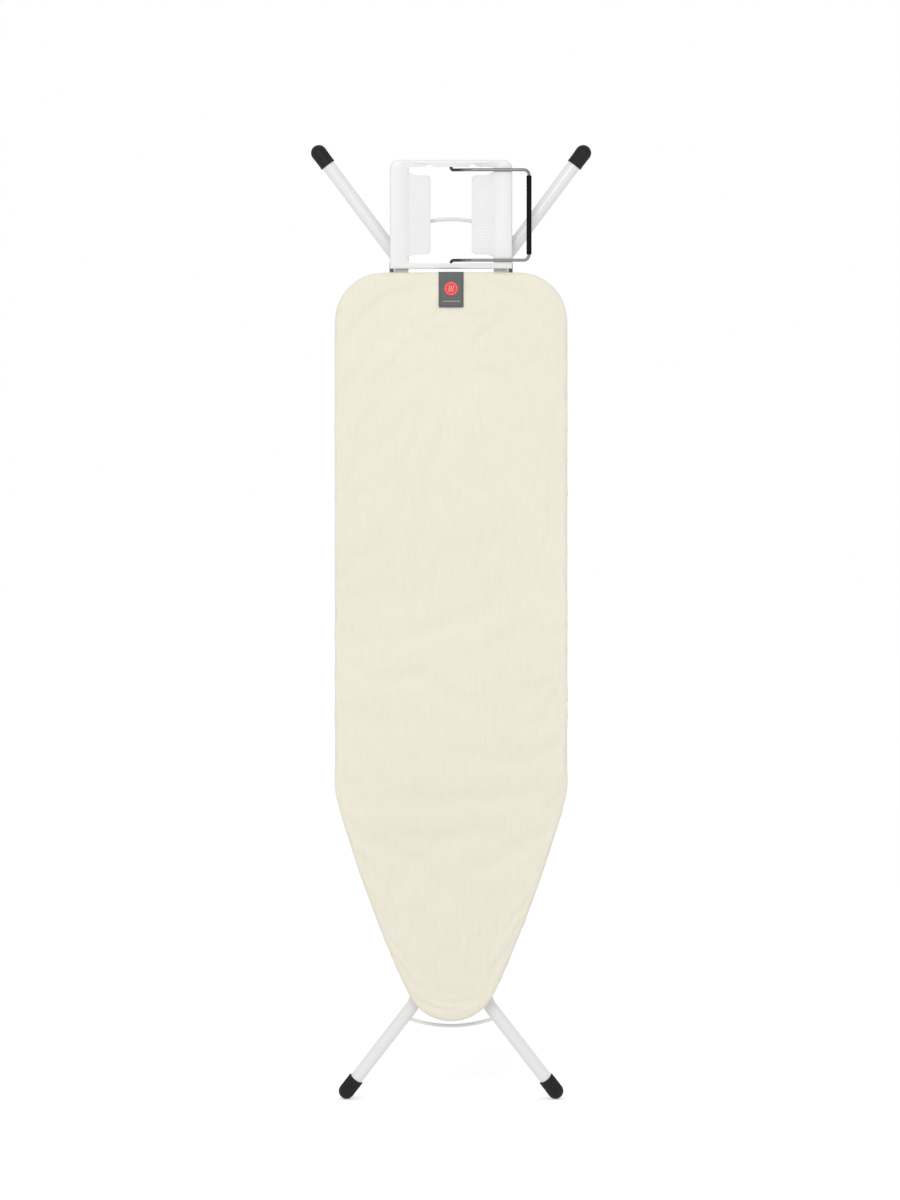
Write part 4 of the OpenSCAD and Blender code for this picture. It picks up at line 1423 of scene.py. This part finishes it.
def make_label_trim():
    """Edge stitches, the red disc with a pale ring and steam strokes, and a plain woven bar."""
    low, high = low_high("label_patch")
    middle = (low + high) / 2
    radius = (high.x - low.x) / 2
    face = LABEL_FRONT - 0.4 * MM
    profile = [(0.2 * MM, radius), (-0.35 * MM, radius), (-0.55 * MM, radius - 0.5 * MM), (-0.6 * MM, 0)]
    disc = lathe("label_disc", profile, (middle.x, face, middle.z), (0, 1, 0), 64)
    finish_piece(disc, "label_red", "board", ["label_patch"])
    ink_y = face - 0.62 * MM
    ring = [(x, ink_y, z) for x, z in circle_points(middle.x, middle.z, radius * 0.84, 72)]
    threads("label_ring", list(zip(ring, ring[1:] + ring[:1])), 0.28 * MM, **LABEL_THREAD)
    strokes = []
    for shift in (-3.0, 0.0, 3.0):
        line = []
        for k in range(13):
            t = k / 12 - 0.5
            x = middle.x + (shift + 0.9 * math.sin(t * 2 * math.pi)) * MM
            line.append((x, ink_y, middle.z + t * 9.5 * MM))
        strokes += list(zip(line, line[1:]))
    threads("label_steam", strokes, 0.6 * MM, **LABEL_THREAD)
    edge = []
    stitch, pitch = 2.1 * MM, 3.2 * MM
    y = face - 0.02 * MM
    for x in (2.2 * MM - LABEL_HIGH.x, LABEL_HIGH.x - 2.2 * MM):
        z = LABEL_LOW.z + 2.5 * MM
        while z < LABEL_HIGH.z - 8 * MM:
            edge.append(((x, y, z), (x, y, z + stitch)))
            z += pitch
    x, y, z = LABEL_LOW.x + 3.5 * MM, face - 0.1 * MM, LABEL_LOW.z + 2.4 * MM
    while x < LABEL_HIGH.x - 4 * MM:
        edge.append(((x, y, z), (x + stitch, y, z)))
        x += pitch
    dark = woven("dark_thread", (0.06, 0.062, 0.064), 0.0005)
    threads("label_stitches", edge, 0.25 * MM, dark, "label_cloth")
    bar = []
    y, z = face - 0.28 * MM, middle.z - radius - 9.5 * MM
    for k in range(24):
        x = (k - 11.5) * 1.15 * MM
        bar.append(((x, y, z - 1.0 * MM), (x + 0.5 * MM, y, z + 1.0 * MM)))
    threads("label_woven_bar", bar, 0.3 * MM, **LABEL_THREAD)


make_label()
make_label_trim()


# ---- slider, lever grip and the CAD nodes that stay


GRIP_START = Vector((LEVER_AXIS.x, LEVER_AXIS.y, 1.335))


def make_slider():
    """The plastic shoe with its bore, and grip ribs on its back."""
    low, high = low_high("slider_shoe")
    outline = rounded_rect(low.y, high.y, low.z, high.z, 3.5 * MM, 5)
    bore = circle_points(SLIDE_PIVOT.y, SLIDE_PIVOT.z, 5.05 * MM)
    parts = [side_plate("block", outline, [bore], 0.0, high.x - low.x, 0.8 * MM)]
    for dz in (-11, -8.5, 8.5, 11):
        ends = [(x * MM, high.y - 0.2 * MM, SLIDE_PIVOT.z + dz * MM) for x in (-15, 15)]
        parts.append(sweep("rib", ends, 0.9 * MM, 12))
    finish_piece(join("slider_block", parts), "black_plastic", "slider", ["slider_shoe"])


def make_lever_grip():
    """The ringed knob on the lever's cranked end."""
    turn = math.radians(-10)
    axis = Vector((math.cos(turn), math.sin(turn), 0))
    profile = mm((8.4, 3.05), (8.4, 4.4), (9, 5.1))
    for k in range(7):
        at = 10.5 + k * 2.2
        profile += mm((at, 5.45), (at + 0.7, 5.5), (at + 1.1, 4.9), (at + 1.6, 4.9))
    profile += mm((27.2, 5.3), (28.2, 4.6), (28.8, 3.0), (29, 0))
    node = "lever_grip"
    turned(f"{node}_moulded", profile, GRIP_START, axis, "black_plastic", "height_lever", [node], 36)


def make_cover_clips():
    """A small sprung hook at each arm that holds the cover's square end down."""
    for side, tag in SIDES:
        low, high = low_high(f"cover_clip_{tag}")
        outer = side * PLATE_HIGH.x
        x0, x1 = sorted((low.x if side > 0 else high.x, outer))
        base = rounded_rect(x0, x1, PLATE_LOW.z + 1.5 * MM, high.z, 1.5 * MM, 4)
        x0, x1 = sorted((outer - side * 5.0 * MM, outer))
        hook = rounded_rect(x0, x1, low.z + 1 * MM, high.z - 3 * MM, 2 * MM, 4)
        middle = (low.y + high.y) / 2
        parts = [flat_sheet("base", [base], middle, high.y - low.y, 0.9 * MM),
                 flat_sheet("hook", [hook], middle - 1.5 * MM, 4.2 * MM, 0.9 * MM)]
        clip = join(f"cover_clip_{tag}_moulded", parts)
        finish_piece(clip, "black_plastic", "board", [f"cover_clip_{tag}"], GREY_PLASTIC)


BEVELS = {"rim_frame": 0.35, "rack_lever": 0.25, "bearing_low": 0.8, "bearing_top": 0.8,
          "rest_arm_l": 0.6, "rest_arm_r": 0.6}


def finish_cad_nodes():
    """The remaining CAD nodes keep their meshes, with a fine finish and eased edges."""
    for name, node in frame["nodes"].items():
        node.data.materials.clear()
        node.data.materials.append(MATERIALS[SLOT_OF[name]])
        modify(node, "WELD", merge_threshold=0.002 * MM)
        ease_edges(node, BEVELS.get(name, 0.4) * MM, 40)


make_slider()
make_lever_grip()
make_cover_clips()
finish_cad_nodes()
